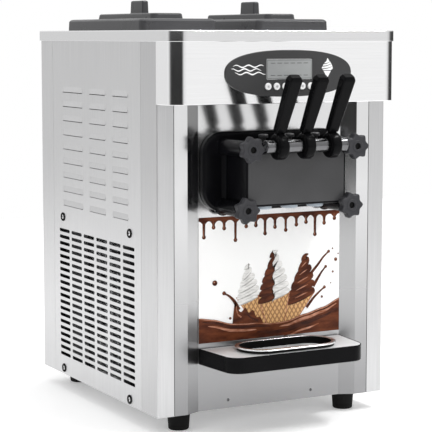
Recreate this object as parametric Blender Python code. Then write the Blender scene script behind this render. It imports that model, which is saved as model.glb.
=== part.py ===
"""Countertop soft serve machine with three levers, as separate closed parts.

Units are metres and +Z is up. The front faces -Y and the feet stand on Z = 0.
Depths are measured back from the front plane of the corner posts, and heights
up from the underside of the casing, so at() turns (x, depth, height) into a
point of the model.
"""
import math

import bmesh
import bpy
from mathutils import Matrix, Vector

# ---- casing ----
FRONT_Y = -0.2131         # the corner posts' front plane
FOOT_HEIGHT = 0.038       # the casing's underside
WIDTH = 0.540
DEPTH = 0.605
SHEET = 0.0015            # sheet metal thickness
GAP = 0.0003              # between pieces that touch
SEAM = 0.0005             # visible gap between two casing sheets
BEND = 0.0025             # outer bend radius of the sheets
POST_FRONT = 0.0385       # a post's share of the front
POST_SIDE = 0.073         # a post's share of the side
REAR_SIDE = 0.070         # the rear panel's return on the side
PILLAR = 0.0686           # from the side to where the recess splays in
RECESS_HALF = 0.1697
RECESS_DEPTH = 0.0149
POSTER_HALF = 0.1690
POSTER_HEIGHTS = (0.1410, 0.4000)
CASING_TOP = 0.7768       # top edge of the sheets, inside the cap
PAN_HEIGHT = 0.030
PAN_FLOOR = 0.0023        # what stands in the pan starts here
FEET_X = 0.200
FEET_DEPTHS = (0.045, 0.560)

# ---- side vents ----
LOUVRE_COLUMNS = ((0.134, 0.212), (0.247, 0.333), (0.368, 0.480))
LOUVRE_ROWS = 9
LOUVRE_BOTTOM = 0.3890
LOUVRE_PITCH = 0.0318
LOUVRE_HEIGHT = 0.0105
LOUVRE_PROUD = 0.0028
SLOT_COLUMNS = 6
SLOT_ROWS = 20
SLOT_DEPTHS = (0.134, 0.475)
SLOT_BOTTOM = 0.0468
SLOT_PITCH = 0.01492
SLOT_LENGTH = 0.056
SLOT_HEIGHT = 0.0070
REAR_SLOTS = 9
REAR_SLOT_XS = (-0.100, 0.100)
REAR_SLOT_BOTTOM = 0.060
REAR_SLOT_PITCH = 0.030
REAR_SLOT_SIZE = (0.150, 0.010)
GLAND_PLACE = (0.200, 0.060)    # x and height
GLAND_SIDES = 12

# ---- head, cap and hoppers ----
HEAD_BOTTOM = 0.632
HEAD_PROUD = 0.0565
HEAD_CORNER = 0.041
CAP_BOTTOM = 0.7565
CAP_TOP = 0.779
CAP_OVERHANG = 0.0028
BEZEL_SIZE = (0.295, 0.094)
BEZEL_HEIGHT = 0.6925
BEZEL_THICK = 0.003
BEZEL_POWER = 2.4         # 2 would make the outline an ellipse
DISPLAY_SIZE = (0.108, 0.0415)
DISPLAY_HEIGHT = 0.7008
BUTTON_XS = (-0.050, -0.030, -0.010, 0.010, 0.030, 0.050)
BUTTON_HEIGHT = 0.6665
BUTTON_R = 0.0072
BUTTON_STEM_R = 0.0025
BUTTON_SIDES = 12
LID_SIZE = (0.180, 0.394)
LID_X = 0.139
LID_DEPTH = 0.352
LID_BASE_HEIGHT = 0.025
LID_TIER_HEIGHT = 0.037
LID_KNOB = (0.016, 0.063, 0.0285)
HOPPER_SIZE = (0.160, 0.372)
HOPPER_FLOOR = 0.600
HOPPER_CORNER = 0.022
SPOUT_DEPTH = 0.190
SPOUT_R = 0.008

# ---- dispensing valve ----
FLANGE = (0.332, 0.163)
FLANGE_HEIGHT = 0.4935
FLANGE_THICK = 0.015
FLANGE_CORNER = 0.045
BLOCK_HALF = 0.1165
BLOCK_PROUD = 0.090
BLOCK_BOTTOM = 0.428
BLOCK_TOP = 0.538
STUD_X = 0.1215
STUD_HEIGHTS = (0.423, 0.545)
BOSS_R = 0.016
KNOB_R = 0.0273
KNOB_LOBES = 7
KNOB_VALLEY = 0.0055
KNOB_THICK = 0.016
KNOB_FACES = (-0.107, -0.127)   # depths of the knobs' faces, low and high
SPOUT_XS = (-0.061, 0.0, 0.061)
SPOUT_NAMES = ("left", "middle", "right")
VALVE_DEPTH = -0.060
BORE_R = 0.0120
PLUNGER_R = 0.0116
PLUNGER_TOP = 0.5640
FORK_HEIGHTS = (0.5490, 0.5555)
FORK_HALF = 0.0100
FORK_SLOT_HALF = 0.0060
NOZZLE_R = 0.0175
NOZZLE_BORE_R = 0.0075
NOZZLE_PROUD = 0.0075
PIVOT_DEPTH = -0.124
PIVOT_HEIGHT = 0.550
PIVOT_R = 0.0100
PIVOT_SIDES = 24
PIVOT_HALF = 0.0938
LEVER_TILT = math.radians(28.5)
LEVER_HALF = 0.0110             # half of a lever hub's width
HUB_R = 0.0265
HANDLE_SHIFT = 0.014            # the handle's centre line runs this far behind the pivot
HANDLE_LENGTH = 0.152           # from the pivot, along the handle
EAR_R = 0.0135
EAR_ENDS = ((-0.0935, -0.0735), (-0.0485, -0.0125), (0.0125, 0.0485), (0.0735, 0.0935))
EAR_WEB_HALF = 0.007

# ---- drip shelf and tray ----
SHELF_BOTTOM = 0.098
SHELF_TOP = 0.1315
SHELF_PROUD = 0.110
SHELF_REAR_HALF = 0.1690
SHELF_FRONT_HALF = 0.1575
SHELF_CORNER = 0.032
TRAY_SIZE = (0.226, 0.110)
TRAY_DEPTH = -0.049
TRAY_TOP = 0.1400
TRAY_FLOOR = 0.1060

# ---- freezing and drive ----
CYLINDER_X = 0.078
CYLINDER_HEIGHT = 0.488
CYLINDER_R = 0.052
CYLINDER_SIDES = 20
CYLINDER_REAR = 0.330
BEATER_SHAFT_R = 0.008
BEATER_R = 0.0475
BEATER_TURNS = 2
BEATER_STEPS = 8                # per turn
GEARBOX_DEPTHS = (0.336, 0.396)
BELT_DEPTHS = (0.408, 0.424)
LARGE_PULLEY_R = 0.060
SMALL_PULLEY_R = 0.028
PULLEY_RIM = 0.005
DRIVE_SHAFT_R = 0.008
MOTOR_HEIGHT = 0.250
FAN_CENTRE = (0.310, 0.190)     # depth and height
FAN_R = 0.120
FAN_X = -0.190
FAN_BLADES = 5
COMPRESSOR_PLACE = (0.165, 0.470)   # x and depth

STEEL = ("brushed_steel", (0.62, 0.62, 0.63), 1.0, 0.35)
POLISHED = ("polished_steel", (0.80, 0.80, 0.81), 1.0, 0.12)
COVER = ("cover_steel", (0.84, 0.84, 0.85), 1.0, 0.20)
BLACK = ("black_plastic", (0.02, 0.02, 0.02), 0.0, 0.25)
CHARCOAL = ("charcoal_plastic", (0.06, 0.06, 0.06), 0.0, 0.40)
GREY = ("grey_plastic", (0.11, 0.11, 0.12), 0.0, 0.50)
BUTTON_WHITE = ("button_white", (0.90, 0.90, 0.90), 0.0, 0.35)
DISPLAY = ("display_glass", (0.42, 0.42, 0.42), 0.0, 0.15)
POSTER = ("poster_print", (0.85, 0.80, 0.76), 0.0, 0.40)
NOZZLE = ("nozzle_plastic", (0.42, 0.47, 0.52), 0.0, 0.40)
RUBBER = ("rubber", (0.02, 0.02, 0.02), 0.0, 0.80)
PAINTED = ("painted_metal", (0.05, 0.05, 0.06), 0.3, 0.45)
FINS = ("fin_aluminium", (0.70, 0.71, 0.72), 1.0, 0.40)
BOARD = ("circuit_board", (0.05, 0.22, 0.10), 0.0, 0.50)


def clear_scene():
    for obj in list(bpy.data.objects):
        bpy.data.objects.remove(obj)


def at(x, depth, height):
    """The model's point at x, a depth behind the posts' front plane, a height above the underside."""
    return Vector((x, FRONT_Y + depth, FOOT_HEIGHT + height))


def material(finish):
    name, colour, metallic, roughness = finish
    found = bpy.data.materials.get(name)
    if found:
        return found
    made = bpy.data.materials.new(name)
    made.use_nodes = True
    shader = made.node_tree.nodes["Principled BSDF"]
    shader.inputs["Base Color"].default_value = (*colour, 1.0)
    shader.inputs["Metallic"].default_value = metallic
    shader.inputs["Roughness"].default_value = roughness
    return made


def add_object(name, bm, finish, origin=(0, 0, 0)):
    """Makes an object of bm, whose points are in world space, with its origin at origin."""
    bmesh.ops.remove_doubles(bm, verts=bm.verts, dist=1e-7)
    bmesh.ops.recalc_face_normals(bm, faces=bm.faces)
    if bm.calc_volume(signed=True) < 0:
        bmesh.ops.reverse_faces(bm, faces=bm.faces)
    bmesh.ops.translate(bm, verts=bm.verts, vec=-Vector(origin))
    mesh = bpy.data.meshes.new(name)
    bm.to_mesh(mesh)
    bm.free()
    mesh.shade_smooth()
    mesh.set_sharp_from_angle(angle=math.radians(35))
    mesh.materials.append(material(finish))
    obj = bpy.data.objects.new(name, mesh)
    obj.location = origin
    bpy.context.scene.collection.objects.link(obj)
    return obj


def combine(obj, bm, operation):
    """Adds a Boolean with a hidden object made of bm."""
    other = add_object(f"{obj.name}_{operation.lower()}_{len(obj.modifiers)}", bm, BLACK)
    other.hide_render = True
    other.display_type = "WIRE"
    boolean = obj.modifiers.new(operation.title(), "BOOLEAN")
    boolean.operation = operation
    boolean.object = other
    return obj


def cut(obj, bm):
    return combine(obj, bm, "DIFFERENCE")


def fuse(obj, bm):
    return combine(obj, bm, "UNION")


# ---- shapes, each returned as a bmesh ----

def loft(rings, bm=None):
    """Joins rings of equally many points, and closes both ends."""
    bm = bm or bmesh.new()
    made = [[bm.verts.new(point) for point in ring] for ring in rings]
    count = len(rings[0])
    for lower, upper in zip(made, made[1:]):
        for i in range(count):
            j = (i + 1) % count
            bm.faces.new((lower[i], lower[j], upper[j], upper[i]))
    bm.faces.new(made[0])
    bm.faces.new(made[-1])
    return bm


def tube(rings):
    """Joins rings of equally many points, and the last ring to the first."""
    bm = bmesh.new()
    made = [[bm.verts.new(point) for point in ring] for ring in rings]
    count = len(rings[0])
    for ring, following in zip(made, made[1:] + made[:1]):
        for i in range(count):
            j = (i + 1) % count
            bm.faces.new((ring[i], ring[j], following[j], following[i]))
    return bm


def box(low, high, bm=None):
    (x0, y0, z0), (x1, y1, z1) = low, high
    corners = ((x0, y0), (x1, y0), (x1, y1), (x0, y1))
    return loft([[(x, y, z) for x, y in corners] for z in (z0, z1)], bm)


def circle(radius, sides, turn=0.0):
    return [
        (radius * math.cos(turn + math.tau * i / sides), radius * math.sin(turn + math.tau * i / sides))
        for i in range(sides)
    ]


def rounded_rect(width, depth, radius, steps=3):
    """Points of a rectangle centred on (0, 0), from its -y side round to its -x side."""
    points = []
    for quarter, (side, front) in enumerate(((1, -1), (1, 1), (-1, 1), (-1, -1))):
        centre_x = side * (width / 2 - radius)
        centre_y = front * (depth / 2 - radius)
        for step in range(steps + 1):
            angle = math.pi / 2 * (quarter - 1 + step / steps)
            points.append((centre_x + radius * math.cos(angle), centre_y + radius * math.sin(angle)))
    return points


def moved(points, dx, dy):
    return [(x + dx, y + dy) for x, y in points]


def inset(points, distance):
    """A closed anticlockwise outline moved inwards by distance, corner by corner."""
    result = []
    for i, point in enumerate(points):
        before = (Vector(point) - Vector(points[i - 1])).normalized()
        after = (Vector(points[(i + 1) % len(points)]) - Vector(point)).normalized()
        inward = Vector((-before.y - after.y, before.x + after.x)).normalized()
        share = max(0.2, inward.dot(Vector((-before.y, before.x))))
        result.append(tuple(Vector(point) + inward * distance / share))
    return result


def bent(path, radius, steps=3):
    """A path whose inner corners become arcs of this radius."""
    points = [path[0]]
    for before, corner, after in zip(path, path[1:], path[2:]):
        here = Vector(corner)
        to_before = (Vector(before) - here).normalized()
        to_after = (Vector(after) - here).normalized()
        half = to_before.angle(to_after) / 2
        centre = here + (to_before + to_after).normalized() * radius / math.sin(half)
        start = here + to_before * radius / math.tan(half) - centre
        end = here + to_after * radius / math.tan(half) - centre
        turn = math.pi - 2 * half
        sign = 1 if start.x * end.y - start.y * end.x > 0 else -1
        for step in range(steps + 1):
            angle = sign * turn * step / steps
            points.append((
                centre.x + start.x * math.cos(angle) - start.y * math.sin(angle),
                centre.y + start.x * math.sin(angle) + start.y * math.cos(angle),
            ))
    points.append(path[-1])
    return points


def strip(path, thickness):
    """The closed outline of a sheet along path, its thickness on the path's left."""
    other = []
    for i, point in enumerate(path):
        ahead = (Vector(path[min(i + 1, len(path) - 1)]) - Vector(path[min(i, len(path) - 2)])).normalized()
        behind = (Vector(path[max(i, 1)]) - Vector(path[max(i - 1, 0)])).normalized()
        left = Vector((-ahead.y - behind.y, ahead.x + behind.x)).normalized()
        share = left.dot(Vector((-ahead.y, ahead.x)))
        other.append(tuple(Vector(point) + left * thickness / share))
    return list(path) + other[::-1]


def flat(points, height):
    """A ring of (x, depth) points at one height."""
    return [at(x, depth, height) for x, depth in points]


def upright(points, depth):
    """A ring of (x, height) points at one depth."""
    return [at(x, depth, height) for x, height in points]


def sideways(points, x):
    """A ring of (depth, height) points at one x."""
    return [at(x, depth, height) for depth, height in points]


def casting(outline, heights, bm=None):
    return loft([flat(outline, height) for height in heights], bm)


def crate(xs, depths, heights, bm=None):
    return box(at(xs[0], depths[0], heights[0]), at(xs[1], depths[1], heights[1]), bm)


def rod(place, x, height, radius, ends, sides=12, bm=None):
    """A round bar that place (flat, upright or sideways) lays along its own axis."""
    return loft([place(moved(circle(radius, sides), x, height), end) for end in ends], bm)


# ---- casing ----

def make_base():
    width = WIDTH - 2 * (SHEET + GAP)
    front = RECESS_DEPTH + SHEET + GAP
    rear = DEPTH - SHEET - GAP
    outline = moved(rounded_rect(width, rear - front, 0.003, 1), 0, (front + rear) / 2)
    inner = inset(outline, SHEET)
    pan = loft([
        flat(inner, 0.002), flat(inner, PAN_HEIGHT), flat(outline, PAN_HEIGHT), flat(outline, 0),
    ])
    add_object("base_pan", pan, STEEL)
    for depth, row in zip(FEET_DEPTHS, ("front", "rear")):
        for x, side in ((-FEET_X, "left"), (FEET_X, "right")):
            rings = ((0.0210, -FOOT_HEIGHT), (0.0215, -0.034), (0.0240, -0.004), (0.0240, -GAP))
            foot = loft([flat(moved(circle(r, 16), x, depth), height) for r, height in rings])
            add_object(f"foot_{row}_{side}", foot, RUBBER)


def make_posts():
    half = WIDTH / 2
    for side, name in ((-1, "left"), (1, "right")):
        path = [
            (side * half, POST_SIDE - SEAM / 2), (side * half, 0), (side * (half - POST_FRONT + SEAM / 2), 0),
        ]
        if side > 0:
            path.reverse()
        outline = strip(bent(path, BEND), SHEET)
        add_object(f"{name}_front_post", casting(outline, (0, CASING_TOP)), STEEL)


def make_front_panel():
    edge = WIDTH / 2 - POST_FRONT - SEAM / 2
    pillar = WIDTH / 2 - PILLAR
    corners = [(-edge, 0), (-pillar, 0), (-RECESS_HALF, RECESS_DEPTH)]
    path = corners + [(-x, depth) for x, depth in corners[::-1]]
    panel = add_object("front_panel", casting(strip(path, SHEET), (0, CASING_TOP)), POLISHED)
    for side in (-1, 1):
        hole = rod(upright, side * CYLINDER_X, CYLINDER_HEIGHT, CYLINDER_R + GAP, (0, 0.03), CYLINDER_SIDES)
        cut(panel, hole)
    sheet = crate((-POSTER_HALF, POSTER_HALF), (RECESS_DEPTH - 0.0008, RECESS_DEPTH - GAP), POSTER_HEIGHTS)
    add_object("poster_sheet", sheet, POSTER)


def make_side_panels():
    half = WIDTH / 2
    depths = (POST_SIDE + SEAM / 2, DEPTH - REAR_SIDE - SEAM / 2)
    pitch = (SLOT_DEPTHS[1] - SLOT_DEPTHS[0]) / (SLOT_COLUMNS - 1)
    for side, name in ((-1, "left"), (1, "right")):
        outer, inner = side * half, side * (half - SHEET)
        panel = add_object(f"{name}_side_panel", crate((inner, outer), depths, (0, CASING_TOP)), STEEL)
        louvres = bmesh.new()
        for row in range(LOUVRE_ROWS):
            lip = LOUVRE_BOTTOM + row * LOUVRE_PITCH
            profile = (
                (outer - side * 0.0007, lip), (outer + side * LOUVRE_PROUD, lip),
                (outer + side * LOUVRE_PROUD, lip + 0.002), (outer - side * 0.0007, lip + LOUVRE_HEIGHT),
            )
            for start, end in LOUVRE_COLUMNS:
                loft([upright(profile, depth) for depth in (start, end)], louvres)
        fuse(panel, louvres)
        slots = bmesh.new()
        for row in range(SLOT_ROWS):
            height = SLOT_BOTTOM + row * SLOT_PITCH
            for column in range(SLOT_COLUMNS):
                middle = SLOT_DEPTHS[0] + column * pitch
                crate(
                    (side * (half - 0.01), side * (half + 0.01)),
                    (middle - SLOT_LENGTH / 2, middle + SLOT_LENGTH / 2),
                    (height - SLOT_HEIGHT / 2, height + SLOT_HEIGHT / 2),
                    slots,
                )
        cut(panel, slots)


def make_rear_panel():
    half = WIDTH / 2
    start = DEPTH - REAR_SIDE + SEAM / 2
    path = [(half, start), (half, DEPTH), (-half, DEPTH), (-half, start)]
    panel = add_object("rear_panel", casting(strip(bent(path, BEND), SHEET), (0, CASING_TOP)), STEEL)
    slots = bmesh.new()
    wide, tall = REAR_SLOT_SIZE
    for row in range(REAR_SLOTS):
        height = REAR_SLOT_BOTTOM + row * REAR_SLOT_PITCH
        for x in REAR_SLOT_XS:
            crate(
                (x - wide / 2, x + wide / 2), (DEPTH - 0.01, DEPTH + 0.01),
                (height - tall / 2, height + tall / 2), slots,
            )
    cut(panel, slots)
    cut(panel, rod(upright, *GLAND_PLACE, 0.0093, (DEPTH - 0.01, DEPTH + 0.01), GLAND_SIDES))
    flange, stem, bore = 0.014, 0.009, 0.005
    profile = (
        (bore, 0.012), (stem, 0.012), (stem, 0.006), (flange, 0.005),
        (flange, GAP), (stem, GAP), (stem, -0.008), (bore, -0.008),
    )
    gland = tube([upright(moved(circle(r, GLAND_SIDES), *GLAND_PLACE), DEPTH + d) for r, d in profile])
    add_object("cable_gland", gland, BLACK)


# ---- head, cap, hoppers and lids ----

def make_head():
    half = WIDTH / 2
    path = bent([(-half, -GAP), (-half, -HEAD_PROUD), (half, -HEAD_PROUD), (half, -GAP)], HEAD_CORNER, 6)
    head = add_object("head_cover", casting(path, (HEAD_BOTTOM, CASING_TOP)), COVER)
    inner = bent(
        [(-half + SHEET, 0.01), (-half + SHEET, SHEET - HEAD_PROUD), (half - SHEET, SHEET - HEAD_PROUD),
         (half - SHEET, 0.01)], HEAD_CORNER - SHEET, 6)
    cut(head, casting(inner, (HEAD_BOTTOM + SHEET, 0.80)))
    holes = bmesh.new()
    for x in BUTTON_XS:
        rod(upright, x, BUTTON_HEIGHT, BUTTON_STEM_R + GAP, (-0.08, -0.04), 8, holes)
    cut(head, holes)


def make_controls():
    front = -HEAD_PROUD - GAP - BEZEL_THICK
    outline = []
    for x, y in circle(1.0, 36):
        fuller = 1 / (abs(x) ** BEZEL_POWER + abs(y) ** BEZEL_POWER) ** (1 / BEZEL_POWER)
        outline.append((x * fuller * BEZEL_SIZE[0] / 2, y * fuller * BEZEL_SIZE[1] / 2 + BEZEL_HEIGHT))
    bezel = loft([upright(outline, depth) for depth in (front, -HEAD_PROUD - GAP)])
    bezel = add_object("control_bezel", bezel, CHARCOAL)
    width, tall = DISPLAY_SIZE
    window = crate(
        (-width / 2, width / 2), (-0.1, -0.05), (DISPLAY_HEIGHT - tall / 2, DISPLAY_HEIGHT + tall / 2))
    for x in BUTTON_XS:
        rod(upright, x, BUTTON_HEIGHT, BUTTON_R + GAP, (-0.1, -0.05), BUTTON_SIDES, window)
    cut(bezel, window)
    lens = crate(
        (GAP - width / 2, width / 2 - GAP), (front + 0.0005, -HEAD_PROUD - GAP),
        (DISPLAY_HEIGHT - tall / 2 + GAP, DISPLAY_HEIGHT + tall / 2 - GAP))
    add_object("display_lens", lens, DISPLAY)
    for number, x in enumerate(BUTTON_XS, 1):
        cap_back = -HEAD_PROUD - 0.0026
        rings = (
            (0.0060, front - 0.0022), (BUTTON_R, front - 0.0014), (BUTTON_R, cap_back),
            (BUTTON_STEM_R, cap_back), (BUTTON_STEM_R, -0.048),
        )
        button = loft([upright(moved(circle(r, BUTTON_SIDES), x, BUTTON_HEIGHT), d) for r, d in rings])
        add_object(f"button_{number}", button, BUTTON_WHITE, at(x, front, BUTTON_HEIGHT))
    add_object("control_board", crate((-0.075, 0.075), (-0.040, -0.038), (0.645, 0.735)), BOARD)


def make_cap():
    half = WIDTH / 2 + CAP_OVERHANG
    front = -HEAD_PROUD - CAP_OVERHANG
    rear = DEPTH + CAP_OVERHANG
    left = bent([(0, rear), (-half, rear), (-half, 0.1)], BEND, 2)[1:-1]
    left += bent([(-half, 0.1), (-half, front), (0, front)], HEAD_CORNER + CAP_OVERHANG, 6)[1:-1]
    outline = left + [(-x, depth) for x, depth in left[::-1]]
    rings = (
        (SHEET, CAP_TOP - 0.0017), (SHEET, CAP_BOTTOM), (0, CAP_BOTTOM), (0, CAP_TOP - 0.001),
        (0.001, CAP_TOP),
    )
    cap = add_object("top_cap", loft([flat(inset(outline, d), h) for d, h in rings]), COVER)
    for side in (-1, 1):
        cut(cap, casting(inset(hopper_outline(side), -GAP), (0.74, 0.80)))


def hopper_outline(side):
    return moved(rounded_rect(*HOPPER_SIZE, HOPPER_CORNER), side * LID_X, LID_DEPTH)


def make_hoppers():
    for side, name in ((-1, "left"), (1, "right")):
        outline = hopper_outline(side)
        inner = inset(outline, SHEET)
        rim = inset(outline, -0.0055)
        lip = CAP_TOP + GAP
        rings = (
            (inset(inner, 0.012), HOPPER_FLOOR + SHEET), (inner, HOPPER_FLOOR + 0.014), (inner, lip + 0.0012),
            (rim, lip + 0.0012), (rim, lip), (outline, lip), (outline, HOPPER_FLOOR + 0.0134),
            (inset(outline, 0.012), HOPPER_FLOOR),
        )
        hopper = add_object(f"{name}_hopper", loft([flat(ring, height) for ring, height in rings]), STEEL)
        fuse(hopper, rod(flat, side * LID_X, SPOUT_DEPTH, 0.012, (0.5600, HOPPER_FLOOR + 0.001)))
        cut(hopper, rod(flat, side * LID_X, SPOUT_DEPTH, SPOUT_R, (0.5, 0.65)))


def make_lids():
    width, depth = LID_SIZE
    bottom = CAP_TOP + GAP
    base, tier = CAP_TOP + LID_BASE_HEIGHT, CAP_TOP + LID_TIER_HEIGHT
    wall = 0.003
    shell = (
        (0.058, tier - wall, 0.012), (0.057, base - wall, 0.013), (wall + 0.002, base - wall, 0.010),
        (wall, bottom, 0.012), (0, bottom, 0.014), (0.0015, base - 0.005, 0.014), (0.006, base, 0.012),
        (0.052, base + 0.0005, 0.014), (0.0545, tier - 0.002, 0.013), (0.0565, tier, 0.012),
    )
    knob_x, knob_y, knob_z = LID_KNOB
    knob = ((0, tier - 0.0015), (0.0010, tier + knob_z - 0.002), (0.0022, tier + knob_z))
    for side, name in ((-1, "left"), (1, "right")):
        place = (side * LID_X, LID_DEPTH)
        rings = [
            flat(moved(rounded_rect(width - 2 * gap, depth - 2 * gap, radius), *place), height)
            for gap, height, radius in shell
        ]
        lid = add_object(f"{name}_hopper_lid", loft(rings), CHARCOAL, at(*place, bottom))
        rings = [
            flat(moved(rounded_rect(knob_x - 2 * gap, knob_y - 2 * gap, 0.003, 2), *place), height)
            for gap, height in knob
        ]
        fuse(lid, loft(rings))


# ---- dispensing valve ----

def make_valve_block():
    flange_back = RECESS_DEPTH - 0.0018
    flange_front = flange_back - FLANGE_THICK
    outline = moved(rounded_rect(*FLANGE, FLANGE_CORNER, 5), 0, FLANGE_HEIGHT)
    rings = ((outline, flange_back), (outline, flange_front + 0.004), (inset(outline, 0.004), flange_front))
    block = add_object("valve_block", loft([upright(shape, depth) for shape, depth in rings]), BLACK)

    middle = (BLOCK_BOTTOM + BLOCK_TOP) / 2
    tall = BLOCK_TOP - BLOCK_BOTTOM
    body = ((0.0, 0.004), (0.0, 0.0025 - BLOCK_PROUD), (0.0025, -BLOCK_PROUD))
    rings = []
    for gap, depth in body:
        shape = rounded_rect(2 * (BLOCK_HALF - gap), tall - 2 * gap, 0.012)
        rings.append(upright(moved(shape, 0, middle), depth))
    fuse(block, loft(rings))
    for height, face in zip(STUD_HEIGHTS, KNOB_FACES):
        for x in (-STUD_X, STUD_X):
            fuse(block, rod(upright, x, height, BOSS_R, (0.004, face + KNOB_THICK + 0.012 + GAP), 16))
    web = (
        (-0.080, BLOCK_TOP - 0.006), (PIVOT_DEPTH, PIVOT_HEIGHT - EAR_R + 0.001),
        (PIVOT_DEPTH, PIVOT_HEIGHT + EAR_R * 0.9), (-0.080, BLOCK_TOP + 0.004),
    )
    for low, high in EAR_ENDS:
        centre = (low + high) / 2
        fuse(block, loft([sideways(web, x) for x in (centre - EAR_WEB_HALF, centre + EAR_WEB_HALF)]))
        fuse(block, rod(sideways, PIVOT_DEPTH, PIVOT_HEIGHT, EAR_R, (low, high), 14))
    cut(block, rod(sideways, PIVOT_DEPTH, PIVOT_HEIGHT, PIVOT_R + GAP, (-0.12, 0.12), PIVOT_SIDES))
    bores = bmesh.new()
    ducts = bmesh.new()
    for x in SPOUT_XS:
        rod(flat, x, VALVE_DEPTH, BORE_R, (0.40, 0.60), 14, bores)
        rod(upright, x, 0.460, 0.006, (VALVE_DEPTH, 0.05), 8, ducts)
    cut(block, bores)
    cut(block, ducts)
    pin = rod(sideways, PIVOT_DEPTH, PIVOT_HEIGHT, PIVOT_R, (-PIVOT_HALF, PIVOT_HALF), PIVOT_SIDES)
    add_object("pivot_rod", pin, POLISHED)

    outer, inner = (
        moved(rounded_rect(2 * (CYLINDER_X + r), 2 * r, r - 0.001, 5), 0, CYLINDER_HEIGHT)
        for r in (CYLINDER_R + 0.012, CYLINDER_R + 0.006)
    )
    back, front = RECESS_DEPTH - GAP, flange_back + GAP
    loops = ((outer, back), (outer, front), (inner, front), (inner, back))
    add_object("valve_gasket", tube([upright(loop, depth) for loop, depth in loops]), RUBBER)


def make_nozzles_and_plungers():
    top = BLOCK_BOTTOM - GAP
    bottom = BLOCK_BOTTOM - NOZZLE_PROUD
    nozzle = (
        (NOZZLE_BORE_R + 0.002, top), (NOZZLE_R, top), (NOZZLE_R, bottom + 0.002), (NOZZLE_R - 0.002, bottom),
        (NOZZLE_BORE_R, bottom),
    )
    plunger = (
        (PLUNGER_R - 0.001, 0.432), (PLUNGER_R, 0.433), (PLUNGER_R, 0.5445), (0.0050, 0.5450),
        (0.0050, PLUNGER_TOP), (0.0100, PLUNGER_TOP), (0.0100, PLUNGER_TOP + 0.006),
        (0.0085, PLUNGER_TOP + 0.0075),
    )
    for x, name in zip(SPOUT_XS, SPOUT_NAMES):
        rings = [flat(moved(circle(r, 14), x, VALVE_DEPTH), height) for r, height in nozzle]
        add_object(f"{name}_nozzle", tube(rings), NOZZLE)
        rings = [flat(moved(circle(r, 14), x, VALVE_DEPTH), height) for r, height in plunger]
        add_object(f"{name}_plunger", loft(rings), CHARCOAL, at(x, VALVE_DEPTH, PLUNGER_TOP))


def make_levers():
    """Each lever's hub turns on the pivot rod, and its fork lifts the plunger behind it."""
    pivot = (PIVOT_DEPTH, PIVOT_HEIGHT)
    lean = Matrix.Rotation(LEVER_TILT, 4, "X")
    hub = (
        (HUB_R - 0.003, -LEVER_HALF), (HUB_R, 0.003 - LEVER_HALF), (HUB_R, LEVER_HALF - 0.003),
        (HUB_R - 0.003, LEVER_HALF),
    )
    handle = (
        (0.010, 0.014, 0.013, 0.003), (0.0245, 0.014, 0.013, 0.003), (0.0265, 0.024, 0.017, 0.004),
        (HANDLE_LENGTH - 0.008, 0.029, 0.021, 0.004), (HANDLE_LENGTH, 0.022, 0.015, 0.003),
    )
    for x, name in zip(SPOUT_XS, SPOUT_NAMES):
        centre = at(x, *pivot)
        rings = [sideways(moved(circle(r, 20), *pivot), x + offset) for r, offset in hub]
        lever = add_object(f"{name}_lever", loft(rings), BLACK, centre)
        rings = []
        for along, wide, thick, radius in handle:
            shape = rounded_rect(wide, thick, radius, 2)
            rings.append([centre + lean @ Vector((px, py + HANDLE_SHIFT, along)) for px, py in shape])
        fuse(lever, loft(rings))
        fuse(lever, crate((x - FORK_HALF, x + FORK_HALF), (PIVOT_DEPTH, VALVE_DEPTH + 0.016), FORK_HEIGHTS))
        slot_xs = (x - FORK_SLOT_HALF, x + FORK_SLOT_HALF)
        cut(lever, crate(slot_xs, (VALVE_DEPTH - 0.012, VALVE_DEPTH + 0.02), (0.54, 0.56)))
        cut(lever, rod(sideways, *pivot, PIVOT_R + GAP, (x - 0.02, x + 0.02), PIVOT_SIDES))


def make_star_knobs():
    points = 5 * KNOB_LOBES
    star = []
    for i in range(points):
        angle = math.tau * i / points
        r = KNOB_R - KNOB_VALLEY * (0.5 - 0.5 * math.cos(KNOB_LOBES * angle)) ** 0.7
        star.append((r * math.cos(angle), r * math.sin(angle)))
    for height, face, row in zip(STUD_HEIGHTS, KNOB_FACES, ("lower", "upper")):
        back = face + KNOB_THICK
        for x, side in ((-STUD_X, "left"), (STUD_X, "right")):
            outline = moved(star, x, height)
            rings = ((inset(outline, 0.002), face), (outline, face + 0.003), (outline, back))
            knob = loft([upright(ring, depth) for ring, depth in rings])
            knob = add_object(f"{row}_{side}_star_knob", knob, GREY, at(x, face, height))
            fuse(knob, rod(upright, x, height, 0.0105, (back - 0.002, back + 0.012)))
            cut(knob, rod(upright, x, height, 0.0070, (face - 0.01, face + 0.005)))


# ---- drip shelf and tray ----

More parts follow.
